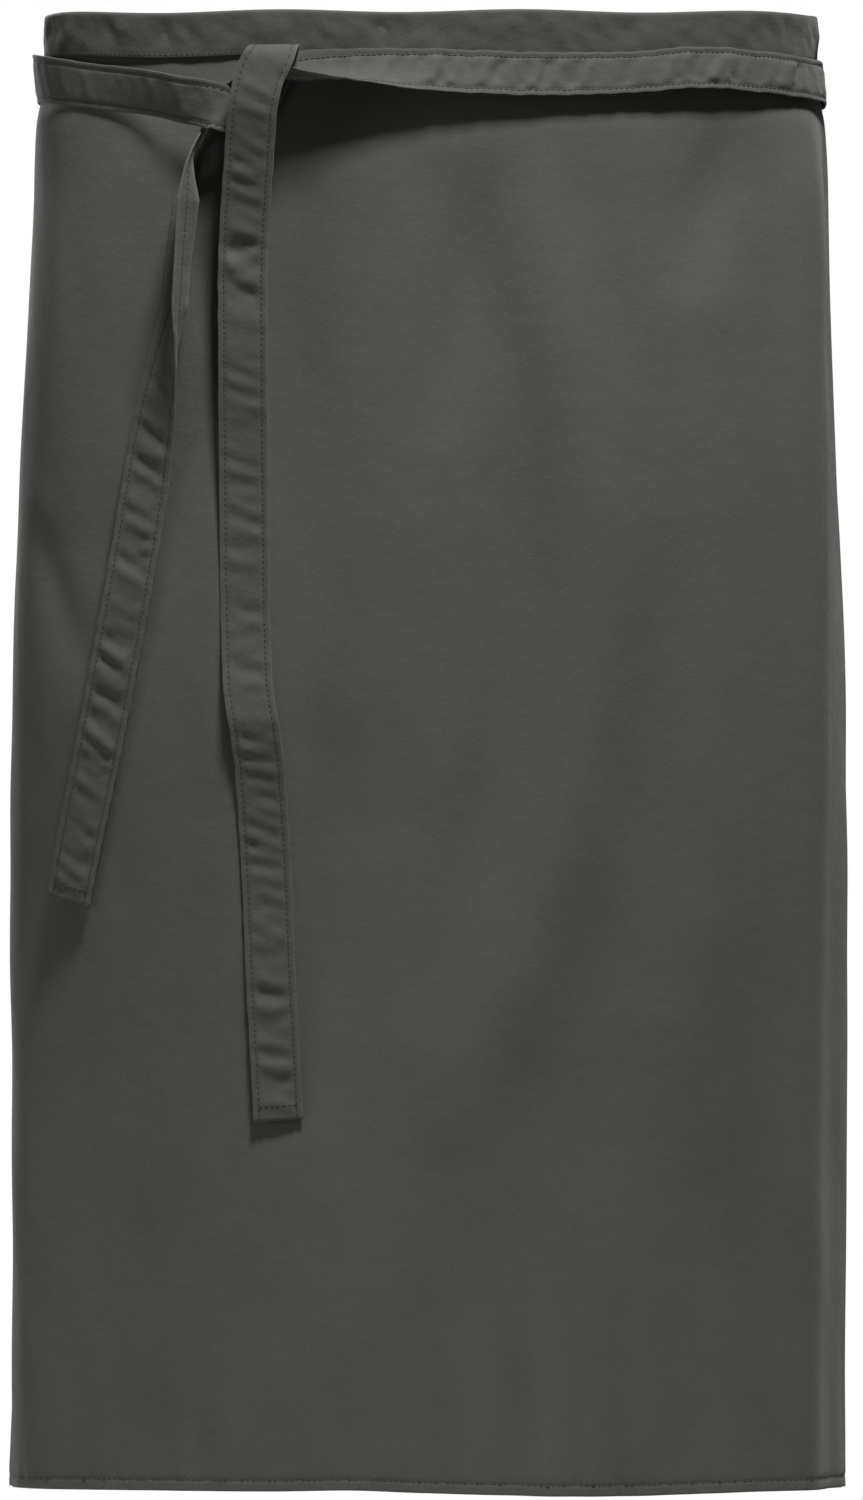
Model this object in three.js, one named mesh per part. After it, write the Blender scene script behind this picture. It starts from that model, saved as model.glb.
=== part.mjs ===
// A long waist apron in its worn shape: a panel that hangs from a folded waistband, open at the
// back, with two ties that cross behind, come round the sides and are half-knotted in front.
// Millimetres, +Z up. The origin is the middle of the waist at half the waistband's height, and
// the front of the apron faces -Y, so +X is to the right of someone who looks at the front.
import * as THREE from 'three';

// Cloth
const APRON_LENGTH = 800;     // from the waistband's upper edge to the lower edge of the hem
const BAND_HEIGHT = 25;
const CLOTH = 1;              // wall of the panel and of each leg of the waistband
const HEM_THICK = 1.2;        // turned-in layers behind the panel
const HEM_HEIGHT = 7;
const SIDE_HEM = 10;
const TIE_WIDTH = 27;
const TIE_THICK = 2;
const TIE_LAP = 30;           // stretch of each tie that is stitched onto its end of the waistband
const GAP = 0.3;              // between pieces that touch
const SLACK = 0.15;           // more under a strap, which is never quite flat on the cloth

// The waist and hips that the cloth goes round, measured at the inner face of the panel
const WAIST_WIDTH = 416;
const WAIST_DEPTH = 226;
const HIP_WIDTH = 452;
const HIP_DEPTH = 258;
const HIP_BACK = 6;           // how far the hips' middle lies behind the waist's
const ROUNDNESS = 2.5;        // exponent of the oval, where 2 is an ellipse
const BACK_GAP = 68;          // between the waistband's two ends
const SWAY = -2;              // sideways drift of the hem

// The knot and the two hanging ends
const KNOT_ACROSS = -85;      // where the long end comes up behind the other tie
const KNOT_DROP = 18.5;       // below half the waistband's height
const LOOP_RISE = 12.5;       // of the long end's fold above the knot
const LONG_END = 581;         // from its fold to its tip
const SHORT_END = 450;        // from the knot's level down to its tip

// Relief of the cloth
const FOLD_DEPTH = 6;
const FOLD_WIDTH = 26;
const BAND_WAVE = 0.8;
const BAND_WAVE_LENGTH = 130;
const BAND_WAVE_START = 16;   // arc from the front's middle where the waistband's edge starts to rise
const FOLD_FADE = 80;         // height below the waistband over which the folds begin
const DRAWN_IN = 32;          // height below the waistband that the ties draw in

// Fineness of the meshes
const PANEL_COLUMNS = 48;
const PANEL_ROWS = 15;
const TIE_STEP = 14;          // longest step along a tie
const ROW_CROWDING = 0.3;     // how much closer the panel's rows come towards the waist
const SEEN_TRIES = 12;        // steps that find the arc of a place seen from the front
const OVAL_STEPS = 180;

// How far the outline has gone from the waist's to the hips', by the share of the length
const FLARE = [
  { drop: 0.0, flare: 0.0 },
  { drop: 0.036, flare: 0.0 },
  { drop: 0.077, flare: 0.31 },
  { drop: 0.127, flare: 0.38 },
  { drop: 0.167, flare: 0.46 },
  { drop: 0.25, flare: 0.65 },
  { drop: 0.33, flare: 0.8 },
  { drop: 0.41, flare: 0.93 },
  { drop: 0.49, flare: 0.98 },
  { drop: 0.58, flare: 1.0 },
  { drop: 1.0, flare: 1.0 },
];

// Soft folds of the panel. A fold's middle runs through high, middle and low, as shares of half the
// panel's width from the front's middle, between two shares of the length. Lift is a share of
// FOLD_DEPTH, raised or sunk, and width one of FOLD_WIDTH.
const FOLDS = [
  { high: 0.07, middle: 0.175, low: 0.03, from: 0.07, to: 0.78, lift: 0.8, width: 1.1 },
  { high: 0.03, middle: 0.1, low: 0.0, from: 0.09, to: 0.7, lift: -0.55, width: 0.9 },
  { high: 0.3, middle: 0.335, low: 0.33, from: 0.08, to: 0.85, lift: 0.8, width: 1.5 },
  { high: 0.25, middle: 0.235, low: 0.24, from: 0.34, to: 0.68, lift: -0.5, width: 0.9 },
  { high: -0.13, middle: -0.125, low: -0.12, from: 0.1, to: 0.8, lift: -0.6, width: 0.9 },
  { high: 0.4, middle: 0.42, low: 0.43, from: 0.05, to: 1.2, lift: -1.0, width: 0.8 },
  { high: 0.52, middle: 0.54, low: 0.54, from: 0.1, to: 1.3, lift: 0.9, width: 1.2 },
  { high: -0.4, middle: -0.4, low: -0.41, from: 0.06, to: 0.36, lift: 0.5, width: 1.4 },
  { high: 0.2, middle: 0.13, low: 0.02, from: 0.72, to: 1.3, lift: 0.5, width: 1.3 },
  { high: -0.3, middle: -0.28, low: -0.28, from: 0.6, to: 1.4, lift: -0.6, width: 1.6 },
  { high: 0.76, middle: 0.75, low: 0.74, from: 0.1, to: 1.4, lift: -1.1, width: 1.3 },
  { high: 0.88, middle: 0.87, low: 0.86, from: 0.1, to: 1.4, lift: 1.1, width: 1.3 },
  { high: -0.72, middle: -0.71, low: -0.7, from: 0.1, to: 1.4, lift: -1.1, width: 1.3 },
  { high: -0.86, middle: -0.85, low: -0.83, from: 0.1, to: 1.4, lift: 1.0, width: 1.4 },
];

// Each tie's way, in the order of its length. Drops, rises and steps across are in tie widths. Raise
// is the clear space under the strap's nearer edge, in tie widths too. Tilt turns the strap about
// its own line, in degrees, and is negative where its first upper edge is the nearer one. Turned
// is the direction of that upper edge, in degrees from the right. Width is a share of TIE_WIDTH.
// Gap counts across the back from one end of the waistband, -1, to the other, 1, and turn in half
// rounds from the front's middle, past the back's middle at 1. Layer is the distance from where a
// strap lies on the waistband, in thicknesses of a tie, and down a share of the end that hangs.
const RIGHT_TIE_BACK = [
  { gap: -0.8, drop: 0.02, layer: 0.5 },
  { gap: -0.4, drop: 0.3, layer: 0.6 },
  { gap: 0.0, drop: 0.6, layer: 0.7 },
  { gap: 0.5, drop: 0.93, layer: 1.0 },
  { gap: 0.8, drop: 1.08, layer: 1.05 },
];
const LEFT_TIE_BACK = [
  { gap: -0.8, drop: 0.02, layer: -0.35 },
  { gap: -0.4, drop: 0.3, layer: -0.85 },
  { gap: 0.0, drop: 0.6, layer: -1.0 },
  { gap: 0.5, drop: 0.93, layer: -1.0 },
  { gap: 0.78, drop: 1.11, layer: -0.78 },
];
const RIGHT_TIE_WRAP = [
  { turn: 1.07, drop: 1.17, raise: 0.06, tilt: 0, width: 1.0 },
  { turn: 1.12, drop: 1.18, raise: 0.04, tilt: 0, width: 1.0 },
  { turn: 1.2, drop: 1.1, raise: 0.04, tilt: 0, width: 1.0 },
  { turn: 1.32, drop: 1.04, raise: 0.04, tilt: 0, width: 1.0 },
  { turn: 1.42, drop: 0.97, raise: 0.04, tilt: 0, width: 0.95 },
  { turn: 1.5, drop: 0.93, raise: 0.03, tilt: 0, width: 0.88 },
  { turn: 1.58, drop: 0.86, raise: 0.04, tilt: -4, width: 0.85 },
  { turn: 1.66, drop: 0.74, raise: 0.06, tilt: -8, width: 0.84 },
  { turn: 1.73, drop: 0.66, raise: 0.1, tilt: -12, width: 0.84 },
  { turn: 1.8, drop: 0.77, raise: 0.05, tilt: -12, width: 0.84 },
  { turn: 1.9, drop: 0.81, raise: 0.04, tilt: -14, width: 0.9 },
  { turn: 2.0, drop: 0.74, raise: 0.04, tilt: -24, width: 0.92 },
  { turn: 2.06, drop: 0.69, raise: 0.06, tilt: -42, width: 0.94 },
  { turn: 2.1, drop: 0.67, raise: 0.1, tilt: -56, width: 0.95 },
];
const LEFT_TIE_WRAP = [
  { turn: 1.066, drop: 1.18, raise: 0.06, tilt: 0, width: 1.0 },
  { turn: 1.12, drop: 1.16, raise: 0.04, tilt: 0, width: 1.0 },
  { turn: 1.2, drop: 1.04, raise: 0.04, tilt: 0, width: 1.0 },
  { turn: 1.32, drop: 0.95, raise: 0.04, tilt: 0, width: 1.0 },
  { turn: 1.42, drop: 0.87, raise: 0.1, tilt: 0, width: 1.0 },
  { turn: 1.5, drop: 0.82, raise: 0.16, tilt: 0, width: 1.0 },
  { turn: 1.58, drop: 0.87, raise: 0.2, tilt: 0, width: 0.95 },
  { turn: 1.65, drop: 1.02, raise: 0.24, tilt: 0, width: 0.9 },
];
const RIGHT_TIE_KNOT = [
  { across: 0.46, drop: -0.02, raise: 0.14, tilt: -68, turned: 90, width: 0.94 },
  { across: 0.16, drop: 0.0, raise: 0.16, tilt: -84, turned: 95, width: 0.9 },
  { across: -0.14, drop: 0.01, raise: 0.16, tilt: -90, turned: 120, width: 0.88 },
  { across: -0.42, drop: 0.07, raise: 0.14, tilt: -90, turned: 150, width: 0.82 },
  { across: -0.66, drop: 0.2, raise: 0.1, tilt: -90, turned: 165, width: 0.72 },
  { across: -0.87, drop: 0.38, raise: 0.04, tilt: -88, turned: 175, width: 0.54 },
  { across: -1.08, drop: 0.68, raise: 0.03, tilt: -86, turned: 180, width: 0.5 },
  { across: -1.28, drop: 1.0, raise: 0.03, tilt: -84, turned: 180, width: 0.5 },
  { across: -1.45, drop: 1.34, raise: 0.04, tilt: -82, turned: 180, width: 0.56 },
];
const LEFT_TIE_KNOT = [
  { across: -2.45, drop: 0.5, raise: 0.4, tilt: 0, turned: 92, width: 0.94 },
  { across: -1.85, drop: 0.64, raise: 0.6, tilt: 0, turned: 94, width: 0.96 },
  { across: -1.4, drop: 0.72, raise: 0.7, tilt: 0, turned: 92, width: 0.96 },
  { across: -1.12, drop: 0.79, raise: 0.7, tilt: 0, turned: 90, width: 0.88 },
  { across: -0.86, drop: 0.99, raise: 0.54, tilt: 0, turned: 88, width: 0.6 },
  { across: -0.58, drop: 0.94, raise: 0.18, tilt: 0, turned: 95, width: 0.5 },
  { across: -0.3, drop: 0.82, raise: 0.06, tilt: 0, turned: 120, width: 0.5 },
  { across: -0.1, drop: 0.5, raise: 0.05, tilt: 0, turned: 155, width: 0.58 },
  { across: -0.02, drop: 0.16, raise: 0.05, tilt: 0, turned: 176, width: 0.75 },
  { across: 0.0, drop: -0.16, raise: 0.05, tilt: 0, turned: 180, width: 0.92 },
  { across: 0.01, drop: -0.34, raise: 0.12, tilt: 0, turned: 180, width: 0.98 },
  { across: 0.01, drop: -0.42, raise: 0.36, tilt: 0, turned: 180, width: 1.0 },
  { across: 0.01, drop: -0.43, raise: 0.8, tilt: 0, turned: 180, width: 1.0 },
  { across: -0.01, drop: -0.38, raise: 1.06, tilt: 0, turned: 180, width: 1.0 },
  { across: -0.08, drop: -0.2, raise: 1.18, tilt: 0, turned: 180, width: 1.0 },
];
const RIGHT_TIE_END = [
  { down: 0.11, across: -1.66, raise: 0.04, tilt: -78, width: 0.82 },
  { down: 0.157, across: -1.79, raise: 0.04, tilt: -70, width: 0.98 },
  { down: 0.228, across: -1.92, raise: 0.05, tilt: -63, width: 1.0 },
  { down: 0.285, across: -2.0, raise: 0.07, tilt: -60, width: 1.0 },
  { down: 0.32, across: -2.08, raise: 0.07, tilt: -48, width: 1.0 },
  { down: 0.381, across: -2.25, raise: 0.06, tilt: -28, width: 1.0 },
  { down: 0.468, across: -2.49, raise: 0.05, tilt: -6, width: 1.0 },
  { down: 0.52, across: -2.62, raise: 0.05, tilt: 2, width: 1.0 },
  { down: 0.67, across: -3.05, raise: 0.05, tilt: 6, width: 1.0 },
  { down: 0.825, across: -3.54, raise: 0.05, tilt: 12, width: 1.0 },
  { down: 0.93, across: -3.9, raise: 0.05, tilt: 16, width: 1.0 },
  { down: 1.0, across: -4.12, raise: 0.06, tilt: 16, width: 1.0 },
];
const LEFT_TIE_END = [
  { down: 0.026, across: -0.24, raise: 1.2, tilt: 0, width: 1.0 },
  { down: 0.05, across: -0.4, raise: 1.17, tilt: 0, width: 1.0 },
  { down: 0.1, across: -0.48, raise: 1.06, tilt: 0, width: 1.0 },
  { down: 0.18, across: -0.6, raise: 0.78, tilt: 0, width: 1.0 },
  { down: 0.29, across: -0.61, raise: 0.42, tilt: 0, width: 1.0 },
  { down: 0.38, across: -0.6, raise: 0.15, tilt: 0, width: 1.0 },
  { down: 0.47, across: -0.58, raise: 0.06, tilt: 0, width: 1.0 },
  { down: 0.55, across: -0.55, raise: 0.07, tilt: 0, width: 1.0 },
  { down: 0.6, across: -0.5, raise: 0.18, tilt: 0, width: 1.0 },
  { down: 0.63, across: -0.4, raise: 0.26, tilt: 0, width: 1.0 },
  { down: 0.66, across: -0.31, raise: 0.18, tilt: 0, width: 1.0 },
  { down: 0.7, across: -0.24, raise: 0.07, tilt: 0, width: 1.0 },
  { down: 0.75, across: -0.17, raise: 0.05, tilt: 0, width: 1.0 },
  { down: 0.89, across: -0.03, raise: 0.05, tilt: 0, width: 1.0 },
  { down: 1.0, across: 0.1, raise: 0.1, tilt: 0, width: 1.0 },
];

const BAND_TOP = BAND_HEIGHT / 2;
const BAND_FOOT = -BAND_HEIGHT / 2;
const HEM_FOOT = BAND_TOP - APRON_LENGTH;
const UP = new THREE.Vector3(0, 0, 1);

// A table's column at a place between its rows, on a smooth curve through them.
function between(rows, key, column, at) {
  const last = rows.length - 1;
  if (at <= rows[0][key]) return rows[0][column];
  if (at >= rows[last][key]) return rows[last][column];
  const i = rows.findIndex((row) => row[key] > at) - 1;
  const slope = (a) => (rows[a + 1][column] - rows[a][column]) / (rows[a + 1][key] - rows[a][key]);
  const steepness = (a) => {
    const before = slope(Math.max(a - 1, 0));
    const after = slope(Math.min(a, last - 1));
    return before * after > 0 ? (2 * before * after) / (before + after) : 0;
  };
  const span = rows[i + 1][key] - rows[i][key];
  const share = (at - rows[i][key]) / span;
  const leaving = steepness(i) * span;
  const arriving = steepness(i + 1) * span;
  const square = share * share;
  const cube = square * share;
  return (2 * cube - 3 * square + 1) * rows[i][column] + (cube - 2 * square + share) * leaving
    + (3 * square - 2 * cube) * rows[i + 1][column] + (cube - square) * arriving;
}

const smooth = (share) => {
  const t = Math.min(Math.max(share, 0), 1);
  return t * t * (3 - 2 * t);
};
const dropOf = (z) => (BAND_TOP - z) / APRON_LENGTH;
const radians = (degrees) => THREE.MathUtils.degToRad(degrees);

// The oval that the cloth follows at a height: its half sizes, and the arc from the front's middle
// to each of its angles, for one half.
const ovals = new Map();
function ovalAt(z) {
  if (ovals.has(z)) return ovals.get(z);
  const flare = between(FLARE, 'drop', 'flare', dropOf(z));
  const back = HIP_BACK * flare;
  const depth = THREE.MathUtils.lerp(WAIST_DEPTH, HIP_DEPTH, flare) / 2;
  const oval = { width: THREE.MathUtils.lerp(WAIST_WIDTH, HIP_WIDTH, flare) / 2, arcs: [0] };
  oval.front = depth - back;
  oval.rear = depth + back;
  oval.shift = SWAY * dropOf(z);
  let before = ovalPoint(oval, 0);
  for (let i = 1; i <= OVAL_STEPS; i++) {
    const next = ovalPoint(oval, (i / OVAL_STEPS) * Math.PI);
    oval.arcs.push(oval.arcs[i - 1] + next.distanceTo(before));
    before = next;
  }
  oval.half = oval.arcs[OVAL_STEPS];
  ovals.set(z, oval);
  return oval;
}

// A point of the oval at an angle from the front's middle.
function ovalPoint(oval, angle) {
  const x = Math.sin(angle);
  const y = -Math.cos(angle);
  const depth = y < 0 ? oval.front : oval.rear;
  const reach = (Math.abs(x / oval.width) ** ROUNDNESS + Math.abs(y / depth) ** ROUNDNESS)
    ** (-1 / ROUNDNESS);
  return new THREE.Vector2(x * reach, y * reach);
}

// The place on the cloth's inner face at an arc from the front's middle, with the direction out of
// the body and the one along the cloth.
function placeAt(arc, z) {
  const oval = ovalAt(z);
  const round = 2 * oval.half;
  const wound = arc - round * Math.round(arc / round);
  const length = Math.abs(wound);
  let i = Math.min(Math.floor((length / oval.half) * OVAL_STEPS), OVAL_STEPS - 1);
  while (i > 0 && oval.arcs[i] > length) i--;
  while (i < OVAL_STEPS - 1 && oval.arcs[i + 1] < length) i++;
  const share = (length - oval.arcs[i]) / (oval.arcs[i + 1] - oval.arcs[i]);
  const angle = Math.sign(wound) * ((i + share) / OVAL_STEPS) * Math.PI;
  const { x, y } = ovalPoint(oval, angle);
  const depth = y < 0 ? oval.front : oval.rear;
  const power = ROUNDNESS - 1;
  const out = new THREE.Vector3(
    (Math.sign(x) * Math.abs(x / oval.width) ** power) / oval.width,
    (Math.sign(y) * Math.abs(y / depth) ** power) / depth,
    0,
  ).normalize();
  const along = new THREE.Vector3().crossVectors(UP, out);
  return { point: new THREE.Vector3(x + oval.shift, y, z), out, along, arc: wound };
}

const halfPanel = ovalAt(0).half - BACK_GAP / 2;

// How far the folds lift the cloth off its oval.
function drape(arc, z) {
  const drop = dropOf(z);
  let lift = 0;
  for (const fold of FOLDS) {
    const share = (drop - fold.from) / (fold.to - fold.from);
    if (share <= 0 || share >= 1) continue;
    const bend = 2 * (fold.high + fold.low - 2 * fold.middle);
    const middle = fold.high + share * (fold.low - fold.high) + bend * share * (share - 1);
    const away = (arc - middle * halfPanel) / (fold.width * FOLD_WIDTH);
    lift += fold.lift * FOLD_DEPTH * Math.sin(Math.PI * share) * Math.exp(-away * away);
  }
  return lift * smooth((BAND_FOOT - z) / FOLD_FADE);
}

// A point of the cloth, so far out from the panel's inner face.
function clothPoint(arc, z, out) {
  const place = placeAt(arc, z);
  return place.point.addScaledVector(place.out, out + drape(arc, z));
}

// A closed wall between two grids of points, outer and inner, where outer is on the side of the
// cross product of the two directions of the grid.
function wall(outer, inner) {
  const along = outer.length;
  const across = outer[0].length;
  const points = [...outer.flat(), ...inner.flat()];
  const index = [];
  const outside = (i, j) => i * across + j;
  const inside = (i, j) => along * across + i * across + j;
  const face = (a, b, c, d) => index.push(a, b, c, a, c, d);
  for (let i = 0; i < along - 1; i++) {
    for (let j = 0; j < across - 1; j++) {
      face(outside(i, j), outside(i + 1, j), outside(i + 1, j + 1), outside(i, j + 1));
      face(inside(i, j), inside(i, j + 1), inside(i + 1, j + 1), inside(i + 1, j));
    }
    const last = across - 1;
    face(outside(i, 0), inside(i, 0), inside(i + 1, 0), outside(i + 1, 0));
    face(outside(i, last), outside(i + 1, last), inside(i + 1, last), inside(i, last));
  }
  for (let j = 0; j < across - 1; j++) {
    const last = along - 1;
    face(outside(0, j), outside(0, j + 1), inside(0, j + 1), inside(0, j));
    face(outside(last, j), inside(last, j), inside(last, j + 1), outside(last, j + 1));
  }
  const geometry = new THREE.BufferGeometry();
  geometry.setAttribute(
    'position',
    new THREE.Float32BufferAttribute(points.flatMap((p) => p.toArray()), 3),
  );
  geometry.setIndex(index);
  geometry.computeVertexNormals();
  return geometry;
}

const grid = (is, js, point) => is.map((i) => js.map((j) => point(i, j)));

// Arcs of the panel's columns, with one at the edge of each side hem.
function panelColumns() {
  const inside = halfPanel - SIDE_HEM;
  const columns = [-halfPanel];
  for (let i = 0; i <= PANEL_COLUMNS; i++) {
    columns.push(THREE.MathUtils.lerp(-inside, inside, i / PANEL_COLUMNS));
  }
  columns.push(halfPanel);
  return columns;
}

// The waistband is folded over the panel's upper edge. BAND_RADIUS is half the fold's width outside,
// and BAND_SHADE the height that is just clear below the band.
const BAND_RADIUS = CLOTH / 2 + GAP + CLOTH;
const BAND_FACE = CLOTH / 2 + BAND_RADIUS;
const BAND_SHADE = BAND_FOOT - BAND_WAVE - GAP;
const PANEL_TOP = BAND_TOP - BAND_RADIUS - BAND_WAVE;

// Heights of the panel's rows from the hem up, closer together towards the waist, with rows of
// their own where the ties draw the cloth in.
function panelRows() {
  const rows = [HEM_FOOT];
  const foot = HEM_FOOT + HEM_HEIGHT;
  const drawn = BAND_SHADE - DRAWN_IN;
  for (let i = 0; i <= PANEL_ROWS; i++) {
    const share = i / PANEL_ROWS;
    const height = share * (1 + ROW_CROWDING * (1 - share));
    rows.push(THREE.MathUtils.lerp(foot, drawn, height));
  }
  rows.push((drawn + BAND_SHADE) / 2, BAND_SHADE, PANEL_TOP);
  return rows;
}

function panel() {
  const columns = panelColumns();
  const rows = panelRows();
  return wall(
    grid(columns, rows, (arc, z) => clothPoint(arc, z, CLOTH)),
    grid(columns, rows, (arc, z) => clothPoint(arc, z, 0)),
  );
}

function waistband() {
  const FOLD_STEPS = 4;
  const profile = (radius) => {
    const points = [{ out: radius, z: BAND_FOOT }];
    for (let i = 0; i <= FOLD_STEPS; i++) {
      const angle = (i / FOLD_STEPS) * Math.PI;
      const rise = BAND_TOP - BAND_RADIUS + radius * Math.sin(angle);
      points.push({ out: radius * Math.cos(angle), z: rise });
    }
    points.push({ out: -radius, z: BAND_FOOT });
    return points;
  };
  const bandPoint = (arc, at) => {
    const turns = (arc - BAND_WAVE_START) / BAND_WAVE_LENGTH;
    const wave = BAND_WAVE * Math.sin(2 * Math.PI * turns);
    return placeAt(arc, at.z).point
      .addScaledVector(placeAt(arc, at.z).out, CLOTH / 2 + at.out)
      .addScaledVector(UP, wave);
  };
  return wall(
    grid(panelColumns(), profile(BAND_RADIUS), bandPoint),
    grid(panelColumns(), profile(BAND_RADIUS - CLOTH), bandPoint),
  );
}

function bottomHem() {
  const rows = [HEM_FOOT, HEM_FOOT + HEM_HEIGHT];
  return wall(
    grid(panelColumns(), rows, (arc, z) => clothPoint(arc, z, -GAP)),
    grid(panelColumns(), rows, (arc, z) => clothPoint(arc, z, -GAP - HEM_THICK)),
  );
}

// One side hem, on the side of the sign.
function sideHem(side) {
  const ends = [HEM_FOOT + HEM_HEIGHT + GAP, BAND_SHADE];
  const middle = panelRows().filter((z) => z > ends[0] + 1 && z < ends[1] - 1);
  const rows = [ends[0], ...middle, ends[1]];
  const columns = [halfPanel - SIDE_HEM, halfPanel].map((arc) => side * arc);
  columns.sort((a, b) => a - b);
  return wall(
    grid(columns, rows, (arc, z) => clothPoint(arc, z, -GAP)),
    grid(columns, rows, (arc, z) => clothPoint(arc, z, -GAP - HEM_THICK)),
  );
}

// Between cloth and a strap's middle line, where the strap lies on it.
const SEAT = GAP + SLACK + TIE_THICK / 2;

// A station of a strap: its middle, the direction of its first upper edge and its width there.
function station(place, out, row) {
  const tilt = radians(row.tilt ?? 0);
  const turned = radians(row.turned ?? 90);
  const edge = new THREE.Vector3()
    .addScaledVector(place.along, Math.cos(turned) * Math.cos(tilt))
    .addScaledVector(UP, Math.sin(turned) * Math.cos(tilt))
    .addScaledVector(place.out, Math.sin(tilt));
  const middle = place.point.clone().addScaledVector(place.out, out);
  return { middle, edge, width: row.width * TIE_WIDTH };
}

// A station at so many half rounds from the front's middle, for a tie that sets off to the side of
// the sign. This one keeps a distance from the waistband's face.
function backStation(side, row) {
  const place = placeAt(side * row.turn * ovalAt(0).half, 0);
  place.point.z = -row.drop * TIE_WIDTH;
  const out = BAND_FACE + SEAT + row.layer * (TIE_THICK + GAP);
  return station(place, out, { tilt: 0, width: 1, ...row });
}

// This one lies on the waistband or on the cloth that flares out below it, whichever it meets.
function wrapStation(side, row) {
  const z = -row.drop * TIE_WIDTH;
  const half = (row.width * TIE_WIDTH) / 2;
  const place = placeAt(side * row.turn * ovalAt(z).half, z);
  const cover = (height) => {
    const there = placeAt(side * row.turn * ovalAt(height).half, height);
    const face = height > BAND_SHADE ? BAND_FACE : CLOTH + drape(there.arc, height);
    return there.point.sub(place.point).dot(place.out) + face;
  };
  const upper = cover(z + half);
  const lower = Math.max(cover(z - half), upper);
  const lean = Math.atan2(lower - upper, 2 * half);
  const tilt = row.tilt - THREE.MathUtils.radToDeg(lean);
  const rise = row.raise * TIE_WIDTH + half * Math.abs(Math.sin(radians(tilt)));
  return station(place, upper + SEAT + rise, { ...row, tilt });
}

// A station in front, where the strap's middle is seen at a place across.
function frontStation(x, z, row) {
  const edgeReach = 0.5 * row.width * TIE_WIDTH * Math.abs(Math.sin(radians(row.tilt)));
  const out = CLOTH + SEAT + row.raise * TIE_WIDTH + edgeReach;
  let place = placeAt(x, z);
  let lift = drape(place.arc, z);
  for (let i = 0; i < SEEN_TRIES; i++) {
    const seen = place.point.x + place.out.x * (out + lift);
    place = placeAt(place.arc + (x - seen), z);
    lift = drape(place.arc, z);
  }
  return station(place, out + lift, row);
}

// A flat strap through its stations, with its middle line and its edges on smooth curves.
function strap(stations) {
  const middles = new THREE.CatmullRomCurve3(stations.map((s) => s.middle));
  const edges = new THREE.CatmullRomCurve3(stations.map((s) => s.edge), false, 'catmullrom', 0.5);
  const spans = stations.length - 1;
  const samples = [];
  for (let i = 0; i < spans; i++) {
    const length = stations[i].middle.distanceTo(stations[i + 1].middle);
    const steps = Math.max(1, Math.ceil(length / TIE_STEP));
    for (let k = 0; k < steps; k++) samples.push((i + k / steps) / spans);
  }
  samples.push(1);
  const points = samples.map((t) => middles.getPoint(t));
  const section = (t, i) => {
    const before = points[Math.max(i - 1, 0)];
    const after = points[Math.min(i + 1, points.length - 1)];
    const tangent = after.clone().sub(before).normalize();
    const edge = edges.getPoint(t);
    edge.addScaledVector(tangent, -edge.dot(tangent)).normalize();
    const face = new THREE.Vector3().crossVectors(tangent, edge);
    const span = Math.min(Math.floor(t * spans), spans - 1);
    const share = t * spans - span;
    const width = THREE.MathUtils.lerp(stations[span].width, stations[span + 1].width, share);
    const corner = (side, lift) => points[i].clone()
      .addScaledVector(edge, (side * width) / 2)
      .addScaledVector(face, (lift * TIE_THICK) / 2);
    return {
      outer: [corner(-1, 1), corner(1, 1)],
      inner: [corner(-1, -1), corner(1, -1)],
    };
  };
  const sections = samples.map(section);
  return wall(sections.map((s) => s.outer), sections.map((s) => s.inner));
}

// A tie that is stitched onto the waistband's end on one side of the back and sets off across the
// gap, round the other side and to the front.
function tie(side, { back, wrap, knot, end, fall }) {
  const endTurn = halfPanel / ovalAt(0).half;
  const lapTurn = (halfPanel - TIE_LAP) / ovalAt(0).half;
  const stations = [lapTurn, (endTurn + lapTurn) / 2, endTurn].map(
    (turn) => backStation(side, { turn, drop: 0, layer: 0 }),
  );
  for (const row of back) {
    stations.push(backStation(side, { ...row, turn: 1 + row.gap * (1 - endTurn) }));
  }
  for (const row of wrap) stations.push(wrapStation(side, row));
  for (const row of knot) {
    const x = KNOT_ACROSS + row.across * TIE_WIDTH;
    stations.push(frontStation(x, -KNOT_DROP - row.drop * TIE_WIDTH, row));
  }
  for (const row of end) {
    const x = KNOT_ACROSS + row.across * TIE_WIDTH;
    stations.push(frontStation(x, -fall.from - row.down * fall.length, { ...row, turned: 180 }));
  }
  return strap(stations);
}

const RIGHT_TIE = {
  back: RIGHT_TIE_BACK,
  wrap: RIGHT_TIE_WRAP,
  knot: RIGHT_TIE_KNOT,
  end: RIGHT_TIE_END,
  fall: { from: KNOT_DROP, length: SHORT_END },
};
const LEFT_TIE = {
  back: LEFT_TIE_BACK,
  wrap: LEFT_TIE_WRAP,
  knot: LEFT_TIE_KNOT,
  end: LEFT_TIE_END,
  fall: { from: KNOT_DROP - LOOP_RISE, length: LONG_END },
};

const twill = (color) => new THREE.MeshStandardMaterial({
  color,
  roughness: 0.9,
  metalness: 0,
  side: THREE.FrontSide,
});

const apron = new THREE.Group();
function add(name, geometry, color) {
  const mesh = new THREE.Mesh(geometry, twill(color));
  mesh.name = name;
  apron.add(mesh);
}

const PANEL_GREY = 0x504f4a;
const TRIM_GREY = 0x54534d;
add('apron_panel', panel(), PANEL_GREY);
add('waistband', waistband(), TRIM_GREY);
add('hem_bottom', bottomHem(), PANEL_GREY);
add('hem_left', sideHem(-1), PANEL_GREY);
add('hem_right', sideHem(1), PANEL_GREY);
add('tie_left', tie(1, LEFT_TIE), TRIM_GREY);
add('tie_right', tie(-1, RIGHT_TIE), TRIM_GREY);

export default apron;
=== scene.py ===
import bpy
import numpy as np
from mathutils import Matrix


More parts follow.
